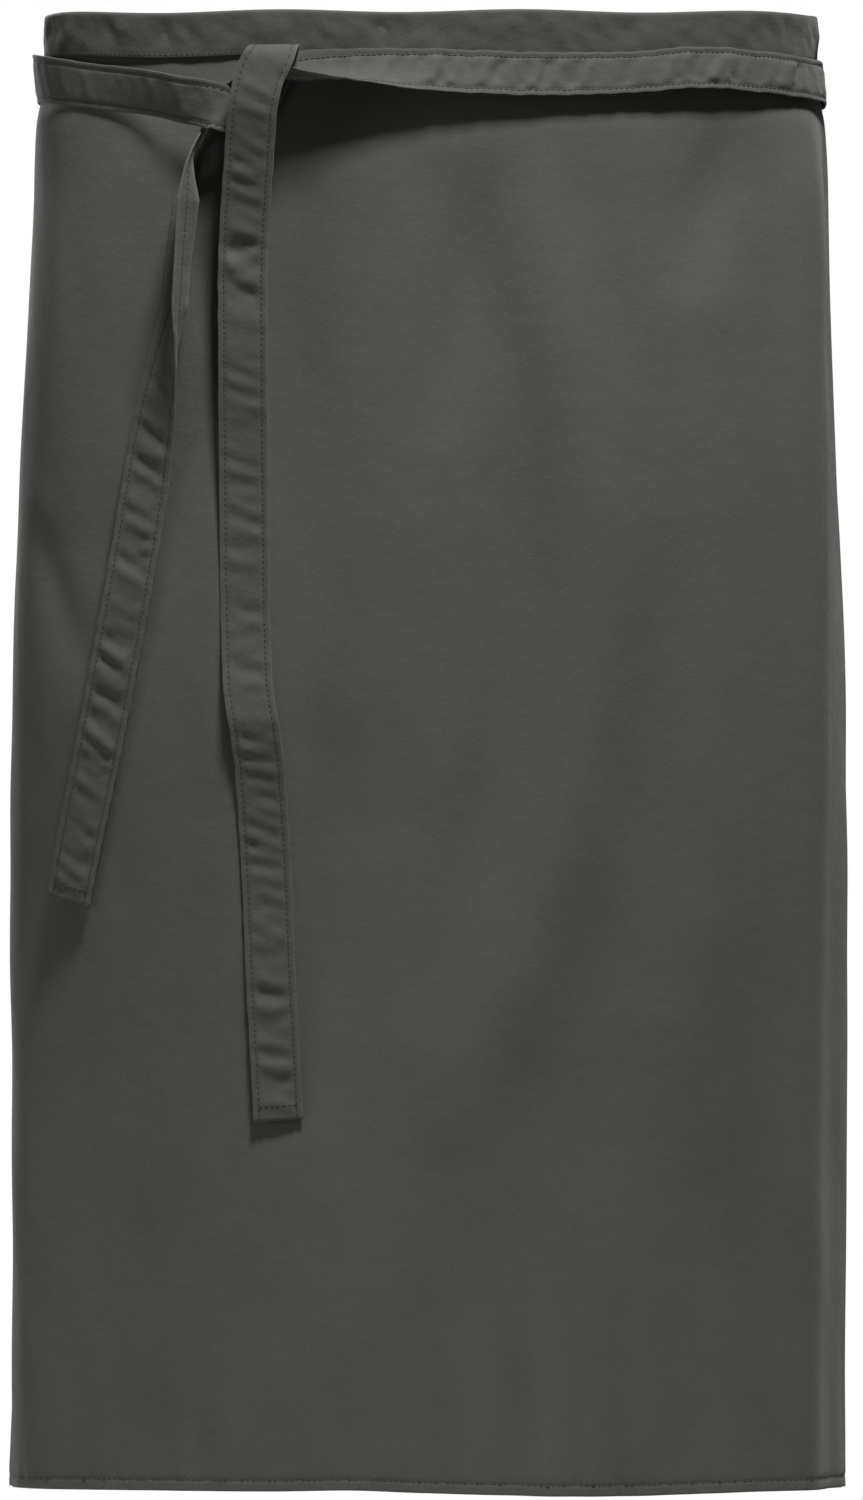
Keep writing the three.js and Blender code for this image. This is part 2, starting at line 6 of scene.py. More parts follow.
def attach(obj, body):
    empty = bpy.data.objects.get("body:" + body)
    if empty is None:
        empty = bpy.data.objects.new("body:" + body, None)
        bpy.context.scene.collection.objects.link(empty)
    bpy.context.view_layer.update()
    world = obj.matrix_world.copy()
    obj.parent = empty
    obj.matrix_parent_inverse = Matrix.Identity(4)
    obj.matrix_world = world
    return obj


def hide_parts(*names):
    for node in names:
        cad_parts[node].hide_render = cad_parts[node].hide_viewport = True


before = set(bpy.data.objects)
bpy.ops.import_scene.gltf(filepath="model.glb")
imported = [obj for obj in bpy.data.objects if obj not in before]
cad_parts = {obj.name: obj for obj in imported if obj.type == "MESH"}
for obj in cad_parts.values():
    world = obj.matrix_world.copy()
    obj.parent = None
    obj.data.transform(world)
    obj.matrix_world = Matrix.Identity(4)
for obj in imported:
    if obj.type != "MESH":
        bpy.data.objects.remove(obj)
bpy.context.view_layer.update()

# Camera. It looks level at the middle of the apron from straight in front and from far off,
# with a long lens, so that the apron fills a frame of 863 by 1500 with hardly any perspective.
FRAME_HEIGHT = 0.813
CAMERA_AWAY = 16.0
SENSOR = 36.0
SHOWN_DEPTH = -0.06          # depth at which the frame has exactly its height
CAMERA_ACROSS = 0.0003
CAMERA_UP = -0.387
camera_data = bpy.data.cameras.new("camera")
camera_data.sensor_width = SENSOR
camera_data.lens = SENSOR * CAMERA_AWAY / FRAME_HEIGHT
camera_data.clip_start = 0.1
camera_data.clip_end = 100.0
camera = bpy.data.objects.new("camera", camera_data)
camera.location = (CAMERA_ACROSS, SHOWN_DEPTH - CAMERA_AWAY, CAMERA_UP)
camera.rotation_euler = (np.pi / 2, 0.0, 0.0)
bpy.context.scene.collection.objects.link(camera)
bpy.context.scene.camera = camera


# Panel. One piece of cotton and polyester twill, cut a metre wide and 0.8 m long, that hangs from
# the waistband round the hips and stays open at the back. It falls in soft upright folds from the
# waist, where the ties draw it in. Sizes are millimetres.
MM = 0.001                   # a millimetre in metres
APRON_LENGTH = 800.0
BAND_HEIGHT = 25.0
BAND_TOP = BAND_HEIGHT / 2
BAND_FOOT = -BAND_HEIGHT / 2
HEM_FOOT = BAND_TOP - APRON_LENGTH
HEM_HEIGHT = 7.0
HEM_TOP = HEM_FOOT + HEM_HEIGHT
SIDE_HEM = 10.0
HEM_STITCH = 1.0             # from a hem's turned-in edge to its row of stitches
HEM_ROW = HEM_TOP - HEM_STITCH
CLOTH = 1.0                  # from the oval that the body fills to the panel's outer face
PANEL_THICK = 0.65
PANEL_TOP = BAND_TOP - 2.6   # the panel's upper edge, inside the waistband's fold
WAIST = {"width": 416.0, "depth": 226.0}
HIPS = {"width": 452.0, "depth": 258.0, "back": 6.0}
ROUNDNESS = 2.5              # exponent of the oval, where 2 is an ellipse
BACK_GAP = 68.0              # between the waistband's ends
SWAY = -2.0                  # how far to the right of the waist the hem hangs
FOLD_DEPTH = 11.0
FOLD_WIDTH = 26.0
FOLD_FADE = 80.0             # length below the waistband over which the folds begin
HEM_DIP_REACH = 90.0         # how far above the hem its dips begin
RIPPLES_BELOW = 14.0         # how far below the waistband its cloth begins to ripple
RIPPLES_FADE = 60.0          # length over which those ripples reach their full height
HEM_RIPPLES_REACH = 75.0
HEM_SLACK = (0.5, 1.4)       # height of the hem's ripples everywhere, and more where it is loose
HEM_LOOSE = (70, 110)        # arc of that place, and how far it reaches
SEAM_REACH = 8               # of the small puckers along the hem
GROOVE_DEPTH = 0.4           # under the rows of stitches
HEM_GROOVE = 1.1             # widths of those grooves
SIDE_GROOVE = 0.9
PANEL_COLUMNS = 250
PANEL_ROWS = 180
PANEL_WEAR = 0.55
PANEL_GREY = (0.060, 0.0585, 0.0525)

# How far the outline has gone from the waist's to the hips': share of the length, share of the way.
FLARE = np.array([
    (0.0, 0.0), (0.036, 0.0), (0.077, 0.31), (0.127, 0.38), (0.167, 0.46), (0.25, 0.65),
    (0.33, 0.8), (0.41, 0.93), (0.49, 0.98), (0.58, 1.0), (1.0, 1.0),
])

# Soft folds. Columns: where the fold's middle runs high, in the middle and low, as shares of half
# the panel's width; the shares of the length between which it runs, which may lie above or below
# the cloth; its lift as a share of FOLD_DEPTH; its width as a share of FOLD_WIDTH.
FOLDS = np.array([
    (0.07, 0.175, 0.03, 0.07, 0.78, 1.0, 1.1),
    (0.03, 0.1, 0.0, 0.09, 0.7, -0.75, 0.85),
    (0.3, 0.335, 0.33, 0.08, 0.85, 0.8, 1.5),
    (0.25, 0.235, 0.24, 0.34, 0.68, -0.5, 0.9),
    (-0.13, -0.125, -0.12, 0.1, 0.8, -0.6, 0.9),
    (0.45, 0.43, 0.43, -0.5, 1.5, 1.05, 0.75),
    (0.6, 0.5, 0.5, -0.5, 1.5, -0.2, 0.8),
    (0.33, 0.3, 0.29, 0.06, 0.2, -0.5, 0.7),
    (0.08, 0.04, 0.02, 0.08, 0.3, -0.45, 0.7),
    (-0.47, -0.42, -0.38, 0.33, 0.47, -0.3, 0.5),
    (-0.4, -0.4, -0.41, 0.06, 0.36, 0.5, 1.4),
    (0.2, 0.13, 0.02, 0.72, 1.3, 0.5, 1.3),
    (-0.06, -0.055, -0.06, 0.55, 1.6, 0.9, 1.7),
    (-0.36, -0.34, -0.33, 0.45, 1.6, -0.8, 2.1),
    (0.76, 0.75, 0.74, 0.1, 1.4, -0.75, 1.3),
    (0.88, 0.87, 0.86, 0.1, 1.4, 0.75, 1.3),
    (-0.72, -0.71, -0.7, 0.1, 1.4, -0.75, 1.3),
    (-0.86, -0.85, -0.83, 0.1, 1.4, 0.7, 1.4),
])

# Where the hem hangs lower. Columns: how far; the arc of its middle; its width.
HEM_DIPS = [(2.6, 90, 85), (-1.1, -40, 30)]

# Ripples of the panel. Columns: height; weight of the way down beside the way across; length;
# number of waves; seed.
BROAD_RIPPLES = (0.9, 0.4, 105, 9, 3)
FINE_RIPPLES = (0.2, 0.45, 36, 12, 5)
HEM_RIPPLES = (1.0, 0.16, 30, 8, 11)
SEAM_RIPPLES = (0.34, 0.3, 11, 8, 13)


def cubic(t, first, leaving, second, arriving):
    """Cubic from one value to another over a share, with its slopes at both ends."""
    return ((2 * t**3 - 3 * t**2 + 1) * first + (t**3 - 2 * t**2 + t) * leaving
            + (3 * t**2 - 2 * t**3) * second + (t**3 - t**2) * arriving)


def between(knots, values, at):
    """Values between a table's rows: a cubic from row to row, level where the rows turn back and
    otherwise as steep as the harmonic mean of the slopes on either side."""
    knots, values = np.asarray(knots, float), np.asarray(values, float)
    at = np.clip(at, knots[0], knots[-1])
    slope = np.diff(values) / np.diff(knots)
    before, after = np.append(slope[0], slope), np.append(slope, slope[-1])
    same_way = before * after > 0
    steep = np.where(same_way, 2 * before * after / np.where(same_way, before + after, 1), 0)
    i = np.clip(np.searchsorted(knots, at, side="right") - 1, 0, len(knots) - 2)
    span = knots[i + 1] - knots[i]
    t = (at - knots[i]) / span
    return cubic(t, values[i], span * steep[i], values[i + 1], span * steep[i + 1])


def smooth(share):
    """Soft step from 0 to 1: three squares less two cubes of the share."""
    t = np.clip(share, 0, 1)
    return t * t * (3 - 2 * t)


def bell(value, middle, width):
    """Bell of height 1: e to minus the square of the distance from its middle over its width."""
    return np.exp(-((value - middle) / width) ** 2)


def flare_at(z):
    """How far the outline has gone from the waist's to the hips' at a height."""
    return between(FLARE[:, 0], FLARE[:, 1], (BAND_TOP - z) / APRON_LENGTH)


def oval_point(flare, angle):
    """The oval at an angle from the front's middle: the unit direction divided by the root, of the
    power ROUNDNESS, of the sum of its two coordinates' powers over the half width and depth."""
    across, deep = np.sin(angle), -np.cos(angle)
    half_width = (WAIST["width"] + (HIPS["width"] - WAIST["width"]) * flare) / 2
    half_depth = (WAIST["depth"] + (HIPS["depth"] - WAIST["depth"]) * flare) / 2
    half_depth = half_depth + np.where(deep < 0, -1, 1) * HIPS["back"] * flare
    reach = (np.abs(across / half_width) ** ROUNDNESS
             + np.abs(deep / half_depth) ** ROUNDNESS) ** (-1 / ROUNDNESS)
    return across * reach, deep * reach, half_width, half_depth


# The oval's angle for a share of its half round, for ovals from the waist's to the hips'.
OVALS = np.linspace(0, 1, 65)
ANGLES = np.linspace(0, np.pi, 1441)
SHARES = np.linspace(0, 1, 721)
SHORT_OF_END = 1.000001      # keeps a place in a table inside its last cell
oval_x, oval_y, _, _ = oval_point(OVALS[:, None], ANGLES[None, :])
oval_arcs = np.pad(np.cumsum(np.hypot(np.diff(oval_x), np.diff(oval_y)), axis=1), ((0, 0), (1, 0)))
half_rounds = oval_arcs[:, -1]
angle_of_share = np.stack([
    np.interp(SHARES * arcs[-1], arcs, ANGLES) for arcs in oval_arcs
])


def half_round(z):
    """Length of cloth from the front's middle to the back's middle at a height."""
    return np.interp(flare_at(z), OVALS, half_rounds)


def place_at(arc, z):
    """The place on the cloth's inner side at an arc from the front's middle and a height, with the
    direction out of the body, the one along the cloth, and the arc less its whole rounds. The arc
    becomes an angle through the table above, read between its rows and columns in proportion."""
    arc, z = np.broadcast_arrays(np.asarray(arc, float), np.asarray(z, float))
    flare = flare_at(z)
    half = np.interp(flare, OVALS, half_rounds)
    wound = arc - 2 * half * np.round(arc / (2 * half))
    row = np.clip(flare * (len(OVALS) - 1), 0, len(OVALS) - SHORT_OF_END)
    column = np.clip(np.abs(wound) / half * (len(SHARES) - 1), 0, len(SHARES) - SHORT_OF_END)
    i, j = row.astype(int), column.astype(int)
    r, c = row - i, column - j
    angle = ((1 - r) * ((1 - c) * angle_of_share[i, j] + c * angle_of_share[i, j + 1])
             + r * ((1 - c) * angle_of_share[i + 1, j] + c * angle_of_share[i + 1, j + 1]))
    x, y, half_width, half_depth = oval_point(flare, np.sign(wound) * angle)
    power = ROUNDNESS - 1
    out = np.stack([np.sign(x) * np.abs(x / half_width) ** power / half_width,
                    np.sign(y) * np.abs(y / half_depth) ** power / half_depth,
                    np.zeros_like(x)], axis=-1)
    out /= np.linalg.norm(out, axis=-1, keepdims=True)
    along = np.stack([-out[..., 1], out[..., 0], out[..., 2]], axis=-1)
    sway = SWAY * (BAND_TOP - z) / APRON_LENGTH
    return np.stack([x + sway, y, z], axis=-1), out, along, wound


half_panel = float(half_round(0.0)) - BACK_GAP / 2
side_row = half_panel - SIDE_HEM + HEM_STITCH


def drape(arc, z):
    """Lift of the folds off the oval: for each, a bell across its middle line times half a sine
    down its length, and all fade out over FOLD_FADE below the waistband."""
    drop = (BAND_TOP - z) / APRON_LENGTH
    lift = np.zeros(np.broadcast(arc, z).shape)
    for high, middle, low, start, end, rise, width in FOLDS:
        share = (drop - start) / (end - start)
        bend = 2 * (high + low - 2 * middle)
        line = high + share * (low - high) + bend * share * (share - 1)
        away = (arc - line * half_panel) / (width * FOLD_WIDTH)
        strength = np.sin(np.pi * np.clip(share, 0, 1))
        lift = lift + rise * FOLD_DEPTH * strength * np.exp(-away**2)
    return lift * smooth((BAND_FOOT - z) / FOLD_FADE)


def ripples(across, down, length, count, seed):
    """Soft uneven waves: the sum of several cosines over the root of half their number. Their
    lengths lie between 0.7 and 1.5 times the given one, and their directions and starts are drawn
    with a seed."""
    draw = np.random.default_rng(seed)
    turn = draw.uniform(0, np.pi, count)
    pitch = 2 * np.pi / (length * draw.uniform(0.7, 1.5, count))
    start = draw.uniform(0, 2 * np.pi, count)
    waves = [np.cos(p * (np.cos(a) * across + np.sin(a) * down) + s)
             for a, p, s in zip(turn, pitch, start)]
    return sum(waves) / np.sqrt(count / 2)


def cloth_ripples(across, down, height, weight, length, count, seed):
    """Ripples of one row of a table: the way down counts by its weight beside the way across."""
    return height * ripples(across, down * weight, length, count, seed)


def relief(arc, z):
    """Low relief of used cloth, in millimetres: broad and fine ripples that fade towards the
    waistband, upright ripples above the hem, most of them right of the middle, small puckers along
    the hem, and a groove under each row of stitches."""
    free = smooth((BAND_FOOT - RIPPLES_BELOW - z) / RIPPLES_FADE)
    loose = cloth_ripples(arc, z, *BROAD_RIPPLES) + cloth_ripples(arc, z, *FINE_RIPPLES)
    evenly, loosely = HEM_SLACK
    hem_slack = bell(z, HEM_FOOT, HEM_RIPPLES_REACH) * (evenly + loosely * bell(arc, *HEM_LOOSE))
    hem = hem_slack * cloth_ripples(arc, z, *HEM_RIPPLES)
    seam = bell(z, HEM_TOP, SEAM_REACH) * cloth_ripples(arc, z, *SEAM_RIPPLES)
    groove = np.maximum(bell(z, HEM_ROW, HEM_GROOVE),
                        bell(np.abs(arc), side_row, SIDE_GROOVE) * (z > HEM_TOP))
    return free * loose + hem + seam - GROOVE_DEPTH * groove


def cloth_point(arc, z, out):
    """A point of the cloth, so far out from its inner side, with all its folds and relief. Near the
    hem it hangs lower by the sum of the dips, each a bell along the hem."""
    place, outward, _, _ = place_at(arc, z)
    dip = sum(lower * bell(arc, middle, width) for lower, middle, width in HEM_DIPS)
    place[..., 2] -= dip * smooth((HEM_FOOT + HEM_DIP_REACH - z) / HEM_DIP_REACH)
    return place + outward * (out + drape(arc, z) + relief(arc, z))[..., None]


def uv_grid(along, across):
    """Coordinates on the cloth, in metres, for each step along it and each one across."""
    return np.stack(np.broadcast_arrays(along[:, None], across[None, :]), axis=-1) * MM


def sewn_solid(name, rings, cloth_uv, wear_and_highlight):
    """A closed solid from rings of points, ring by ring along the piece. Points k and -1-k of a
    ring lie on opposite faces, so the two ends close with a strip between the faces. cloth_uv has
    one more column than rings, for the way round, in metres of cloth. Wear, with the painted
    highlight along the ties' edges, is one value a point."""
    count, size = rings.shape[:2]
    corner = np.arange(count * size).reshape(count, size)
    turned = np.concatenate([corner, corner[:, :1]], axis=1)
    sides = np.stack([turned[:-1, :-1], turned[1:, :-1], turned[1:, 1:], turned[:-1, 1:]], axis=-1)
    side_uv = np.stack([cloth_uv[:-1, :-1], cloth_uv[1:, :-1], cloth_uv[1:, 1:], cloth_uv[:-1, 1:]],
                       axis=2)
    near = np.arange(size // 2 - 1)
    ends, end_uv = [], []
    for i, order in ((0, [0, 1, 2, 3]), (count - 1, [3, 2, 1, 0])):
        quad = np.stack([near, near + 1, size - 2 - near, size - 1 - near], axis=1)[:, order]
        ends.append(corner[i][quad])
        end_uv.append(cloth_uv[i][quad])
    faces = np.concatenate([sides.reshape(-1, 4), *ends])
    uv = np.concatenate([side_uv.reshape(-1, 4, 2), *end_uv])
    points = rings.reshape(-1, 3) * MM
    a, b, c, d = (points[faces[:, k]] for k in range(4))
    volume = np.sum(np.cross(a, b) * c + np.cross(a, c) * d)
    if volume < 0:
        faces, uv = faces[:, ::-1], uv[:, ::-1]
    mesh = bpy.data.meshes.new(name)
    mesh.vertices.add(len(points))
    mesh.vertices.foreach_set("co", points.ravel())
    mesh.loops.add(faces.size)
    mesh.loops.foreach_set("vertex_index", np.ascontiguousarray(faces).ravel())
    mesh.polygons.add(len(faces))
    mesh.polygons.foreach_set("loop_start", np.arange(0, faces.size, 4))
    smooth_sides = np.ones(len(faces), bool)
    smooth_sides[sides[..., 0].size:] = False
    mesh.polygons.foreach_set("use_smooth", smooth_sides)
    mesh.uv_layers.new(name="cloth").data.foreach_set("uv", np.ascontiguousarray(uv).ravel())
    mesh.attributes.new("wear_and_highlight", "FLOAT", "POINT").data.foreach_set(
        "value", np.broadcast_to(wear_and_highlight, (count, size)).ravel())
    mesh.update(calc_edges=True)
    piece = bpy.data.objects.new(name, mesh)
    bpy.context.scene.collection.objects.link(piece)
    return piece


class Signal:
    """One socket of a material, on which sums and products add Math nodes."""

    def __init__(self, tree, socket):
        self.tree, self.socket = tree, socket

    def math(self, operation, *others):
        return node(self.tree, "ShaderNodeMath", {"operation": operation}, [self, *others])

    def __add__(self, other):
        return self.math("ADD", other)

    def __mul__(self, other):
        return self.math("MULTIPLY", other)

    def __sub__(self, other):
        return self.math("SUBTRACT", other)

    def __rsub__(self, other):
        return node(self.tree, "ShaderNodeMath", {"operation": "SUBTRACT"}, [other, self])

    __radd__, __rmul__ = __add__, __mul__

    def sine(self):
        return self.math("SINE")

    def limited(self):
        return node(self.tree, "ShaderNodeClamp", {}, [self])


def node(tree, kind, settings, sockets, output=0):
    """A node of any kind: its settings are set first, then its sockets, by place or by name, from
    values or from signals."""
    made = tree.nodes.new(kind)
    for setting, value in settings.items():
        setattr(made, setting, value)
    pairs = sockets.items() if isinstance(sockets, dict) else enumerate(sockets)
    for key, value in pairs:
        if isinstance(value, Signal):
            tree.links.new(value.socket, made.inputs[key])
        else:
            made.inputs[key].default_value = value
    return Signal(tree, made.outputs[output]) if made.outputs else None


def blank_material(name):
    """A material without any nodes, and its node tree."""
    material = bpy.data.materials.new(name)
    material.use_nodes = True
    material.node_tree.nodes.clear()
    return material, material.node_tree


def mixed(tree, share, first, second):
    """One colour turned into another by a share. Inputs 6 and 7 and output 2 are the colours."""
    return node(tree, "ShaderNodeMix", {"data_type": "RGBA"},
                {0: share, 6: first, 7: second}, output=2)


def shade(grey, factor, more=0.0):
    """A grey made darker or lighter, as an opaque colour."""
    return (*(c * factor + more for c in grey), 1)


RIDGE = 0.62e-3              # from one twill ridge to the next, in metres as all sizes below
FLECK = 0.0013
DENT = 0.011
CLOUD = 0.06


def twill(name, grey, pucker=0.0):
    """Twill as it is woven: ridges at two to one across the cloth, cut by the weft, under an uneven
    yarn that makes light and dark flecks. Worn edges are paler and smoother; along the ties' edges
    that paleness is also a painted highlight. Pucker adds the small dents of cloth that is drawn
    together by its stitches."""
    material, tree = blank_material(name)
    cloth = node(tree, "ShaderNodeUVMap", {"uv_map": "cloth"}, [])
    split = tree.nodes.new("ShaderNodeSeparateXYZ")
    tree.links.new(cloth.socket, split.inputs[0])
    along, down = Signal(tree, split.outputs[0]), Signal(tree, split.outputs[1])
    wear_and_highlight = node(tree, "ShaderNodeAttribute", {"attribute_name": "wear_and_highlight"}, [], output=2)

    def patches(size, detail):
        """Uneven patches of about a size."""
        return node(tree, "ShaderNodeTexNoise", {"noise_dimensions": "2D"},
                    {"Vector": cloth, "Scale": 1 / size, "Detail": detail, "Roughness": 0.6})

    ridge = ((along * 0.89 + down * 0.45) * (2 * np.pi / RIDGE)).sine()
    weft = ((along * 0.3 - down * 0.95) * (2 * np.pi / (RIDGE * 0.8))).sine()
    weave = ridge * 0.34 + weft * 0.16 + 0.5
    fleck = patches(FLECK, 2.0)
    cloud = patches(CLOUD, 3.0)
    dents = patches(DENT, 2.0)
    tone = fleck * 0.75 + cloud * 0.5 + weave * 0.2 - 0.22
    body = mixed(tree, tone.limited(), shade(grey, 0.8), shade(grey, 1.22))
    # paler where rubbed, which on the ties' edges is also a painted highlight where they catch the
    # light
    worn_and_highlit = (wear_and_highlight * (fleck * 0.9 + 0.1)).limited()
    colour = mixed(tree, worn_and_highlit, body, shade(grey, 1.75, 0.004))
    height = weave * 0.09 + fleck * 0.1 + dents * (0.35 + pucker)
    bump = node(tree, "ShaderNodeBump", {}, {"Strength": 1.0, "Distance": 0.001, "Height": height})
    rough = 0.93 - wear_and_highlight * 0.08 - weave * 0.05
    shader = node(tree, "ShaderNodeBsdfPrincipled", {}, {
        "Base Color": colour, "Roughness": rough, "Normal": bump,
        "Specular IOR Level": 0.28, "Sheen Weight": 0.12, "Sheen Roughness": 0.5,
        "Sheen Tint": (0.9, 0.88, 0.82, 1),
    })
    node(tree, "ShaderNodeOutputMaterial", {}, {"Surface": shader})
    return material


# Rows of points above the hem's fold, and rows and columns beside the stitches. They lie close
# together, so that the fold is round and the groove under the stitches has its shape.
FOLD_ROWS = np.array([0.02, 0.22, 1.6])
ROWS_BY_STITCHES = np.array([-2.5, -1.5, -0.9, -0.45, 0.0, 0.45, 0.9, 2.0])
COLUMNS_BY_STITCHES = np.array([-1.0, -0.5, 0.0, 0.5, 1.0])


def panel_rings(columns):
    """Rings of the panel, one a column: up the outer face from the hem's fold to under the
    waistband, then down the inner face, with both edges rounded by drawing the last points in."""
    up = np.linspace(0, 1, PANEL_ROWS)
    crowd = up * (1 + 0.3 * (1 - up))
    heights = HEM_FOOT + (PANEL_TOP - HEM_FOOT) * crowd
    heights = np.concatenate([HEM_FOOT + FOLD_ROWS, HEM_ROW + ROWS_BY_STITCHES,
                              heights[heights > HEM_TOP + 2.5]])
    draw_in = np.zeros(len(heights))
    draw_in[0], draw_in[1], draw_in[-1] = 0.22, 0.04, 0.2
    z = np.concatenate([heights, heights[::-1]])
    out = np.concatenate([CLOTH - draw_in, CLOTH - PANEL_THICK + draw_in[::-1]])
    points = cloth_point(columns[:, None], z[None, :], out[None, :])
    return points, z


over_side = side_row + COLUMNS_BY_STITCHES
panel_columns = np.unique(np.concatenate([
    np.linspace(-half_panel, half_panel, PANEL_COLUMNS), over_side, -over_side]))
rings, ring_z = panel_rings(panel_columns)
uv_down = np.append(ring_z, 2 * HEM_FOOT - ring_z[0])
at_hem = bell(ring_z, HEM_FOOT, 1.6)
at_sides = bell(np.abs(panel_columns), half_panel, 2.0)
panel_wear = PANEL_WEAR * np.maximum(at_hem[None, :], at_sides[:, None])
panel = sewn_solid("panel_cloth", rings, uv_grid(panel_columns, uv_down), panel_wear)
panel_twill = twill("panel_twill", PANEL_GREY)
panel.data.materials.append(panel_twill)
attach(panel, "root")
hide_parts("apron_panel")


# Bottom hem. The panel's lower edge is turned up twice behind it and held by one row of
# lockstitches, whose line and small puckers show on the front.
HEM_THICK = 1.05
HEM_OUT = CLOTH - PANEL_THICK - 0.04     # outer face of the turned-up cloth
HEM_WEAR = 0.15
HEM_COLUMNS = 420
STITCH_LENGTH = 2.6
STITCH_PITCH = 3.1
THREAD = 0.55                # thickness of the thread
THREAD_GREY = (0.014, 0.0137, 0.0125)
TWIST = 1 / 2600             # size of the thread's grain, in metres


def strap_section(count, power):
    """Shares across and through a strap for the points of a ring: a circle that is flattened by
    raising its sine to a small power."""
    turn = 2 * np.pi * (np.arange(count) + 0.5) / count
    return np.cos(turn), np.sign(np.sin(turn)) * np.abs(np.sin(turn)) ** power


def strip_rings(along, across, layer, thick, point):
    """Rings of a flat strip of cloth: a flattened circle, across the strip and through its
    thickness, carried along it. Point turns two coordinates and a distance out into a place."""
    wide, deep = strap_section(24, 0.2)
    side = across.mean() + wide * np.ptp(across) / 2
    out = layer - thick / 2 + deep * thick / 2
    rings = point(along[:, None], side[None, :], out[None, :])
    return rings, uv_grid(along, np.append(side, side[0]))


def stitches(name, places, along, out):
    """A row of stitches. Each is a six-sided spindle of thread that dips into the cloth at both
    ends: rings at five places along it, drawn in and sunk towards the ends."""
    way = along / np.linalg.norm(along, axis=1, keepdims=True)
    up = out - way * np.sum(out * way, axis=1, keepdims=True)
    up /= np.linalg.norm(up, axis=1, keepdims=True)
    side = np.cross(way, up)
    step = np.array([-1.0, -0.7, 0.0, 0.7, 1.0])
    thick = np.array([0.35, 0.9, 1.0, 0.9, 0.35]) * THREAD / 2
    sunk = np.array([-0.32, -0.02, 0.1, -0.02, -0.32])
    turn = 2 * np.pi * np.arange(6) / 6
    shape = np.stack([
        np.repeat(step * STITCH_LENGTH / 2, 6),
        (thick[:, None] * np.cos(turn)).ravel(),
        (thick[:, None] * np.sin(turn) + sunk[:, None]).ravel(),
    ], axis=1)
    points = places[:, None] + shape @ np.stack([way, side, up], axis=1)
    ring = 6 * np.arange(4)[:, None]
    corner = ring + np.arange(6)
    after = ring + (np.arange(6) + 1) % 6
    tube = np.stack([corner, after, after + 6, corner + 6], axis=-1).reshape(-1, 4)
    caps = np.array([(3, 2, 1, 0), (0, 5, 4, 3), (24, 25, 26, 27), (27, 28, 29, 24)])
    one = np.concatenate([tube, caps])
    faces = (one[None] + len(shape) * np.arange(len(points))[:, None, None]).reshape(-1, 4)
    mesh = bpy.data.meshes.new(name)
    mesh.from_pydata(points.reshape(-1, 3) * MM, [], faces)
    mesh.polygons.foreach_set("use_smooth", np.ones(len(faces), bool))
    mesh.update()
    piece = bpy.data.objects.new(name, mesh)
    bpy.context.scene.collection.objects.link(piece)
    piece.data.materials.append(thread)
    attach(piece, "root")


def row_on_cloth(arcs, heights, out):
    """Places, directions and outward directions of a row of stitches on the panel's outer face.
    Either the arcs or the heights may be one for the whole row."""
    places = cloth_point(arcs, heights, out)
    _, outward, _, _ = place_at(arcs, heights)
    along = np.gradient(places, axis=0)
    return places, along, outward


def spun_thread(name, grey):
    """Polyester thread: a fine grain over an even grey, from Object coordinates."""
    material, tree = blank_material(name)
    place = node(tree, "ShaderNodeTexCoord", {}, [], output=3)
    grain = node(tree, "ShaderNodeTexNoise", {},
                 {"Vector": place, "Scale": 1 / TWIST, "Detail": 1.0})
    colour = mixed(tree, grain, shade(grey, 0.8), shade(grey, 1.3))
    bump = node(tree, "ShaderNodeBump", {},
                {"Strength": 0.6, "Distance": 0.0001, "Height": grain})
    shader = node(tree, "ShaderNodeBsdfPrincipled", {}, {
        "Base Color": colour, "Roughness": 0.6, "Normal": bump, "Sheen Weight": 0.1,
    })
    node(tree, "ShaderNodeOutputMaterial", {}, {"Surface": shader})
    return material


thread = spun_thread("thread", THREAD_GREY)

hem_along = np.linspace(-half_panel + 0.3, half_panel - 0.3, HEM_COLUMNS)
hem_edges = np.array([HEM_FOOT + 0.05, HEM_TOP])
rings, uv = strip_rings(hem_along, hem_edges, HEM_OUT, HEM_THICK, cloth_point)
hem_bottom = sewn_solid("hem_bottom_cloth", rings, uv, HEM_WEAR)
hem_bottom.data.materials.append(panel_twill)
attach(hem_bottom, "root")
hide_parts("hem_bottom")

hem_row = np.arange(-half_panel + 3, half_panel - 3, STITCH_PITCH)
stitches("hem_bottom_stitches", *row_on_cloth(hem_row, HEM_ROW, CLOTH))


# Side hems. The panel's two back edges are turned in behind it, from the waistband to the bottom
# hem, each with its own row of stitches.
SIDE_HEM_ROWS = 330
side_rows = np.linspace(HEM_TOP + 0.4, BAND_FOOT - 1.2, SIDE_HEM_ROWS)


def side_hem_point(z, arc, out):
    """A point of the cloth with its two coordinates the other way round, for an upright strip."""
    return cloth_point(arc, z, out)


for side, label in ((-1, "left"), (1, "right")):
    edge = side * np.array([half_panel - 0.1, half_panel - SIDE_HEM])
    rings, uv = strip_rings(side_rows, edge, HEM_OUT, HEM_THICK, side_hem_point)
    hem = sewn_solid(f"hem_{label}_cloth", rings, uv[..., ::-1], HEM_WEAR)
    hem.data.materials.append(panel_twill)
    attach(hem, "root")
    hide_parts(f"hem_{label}")
    heights = np.arange(HEM_TOP + 2, BAND_FOOT - 4, STITCH_PITCH)
    stitches(f"hem_{label}_stitches", *row_on_cloth(side * side_row, heights, CLOTH))
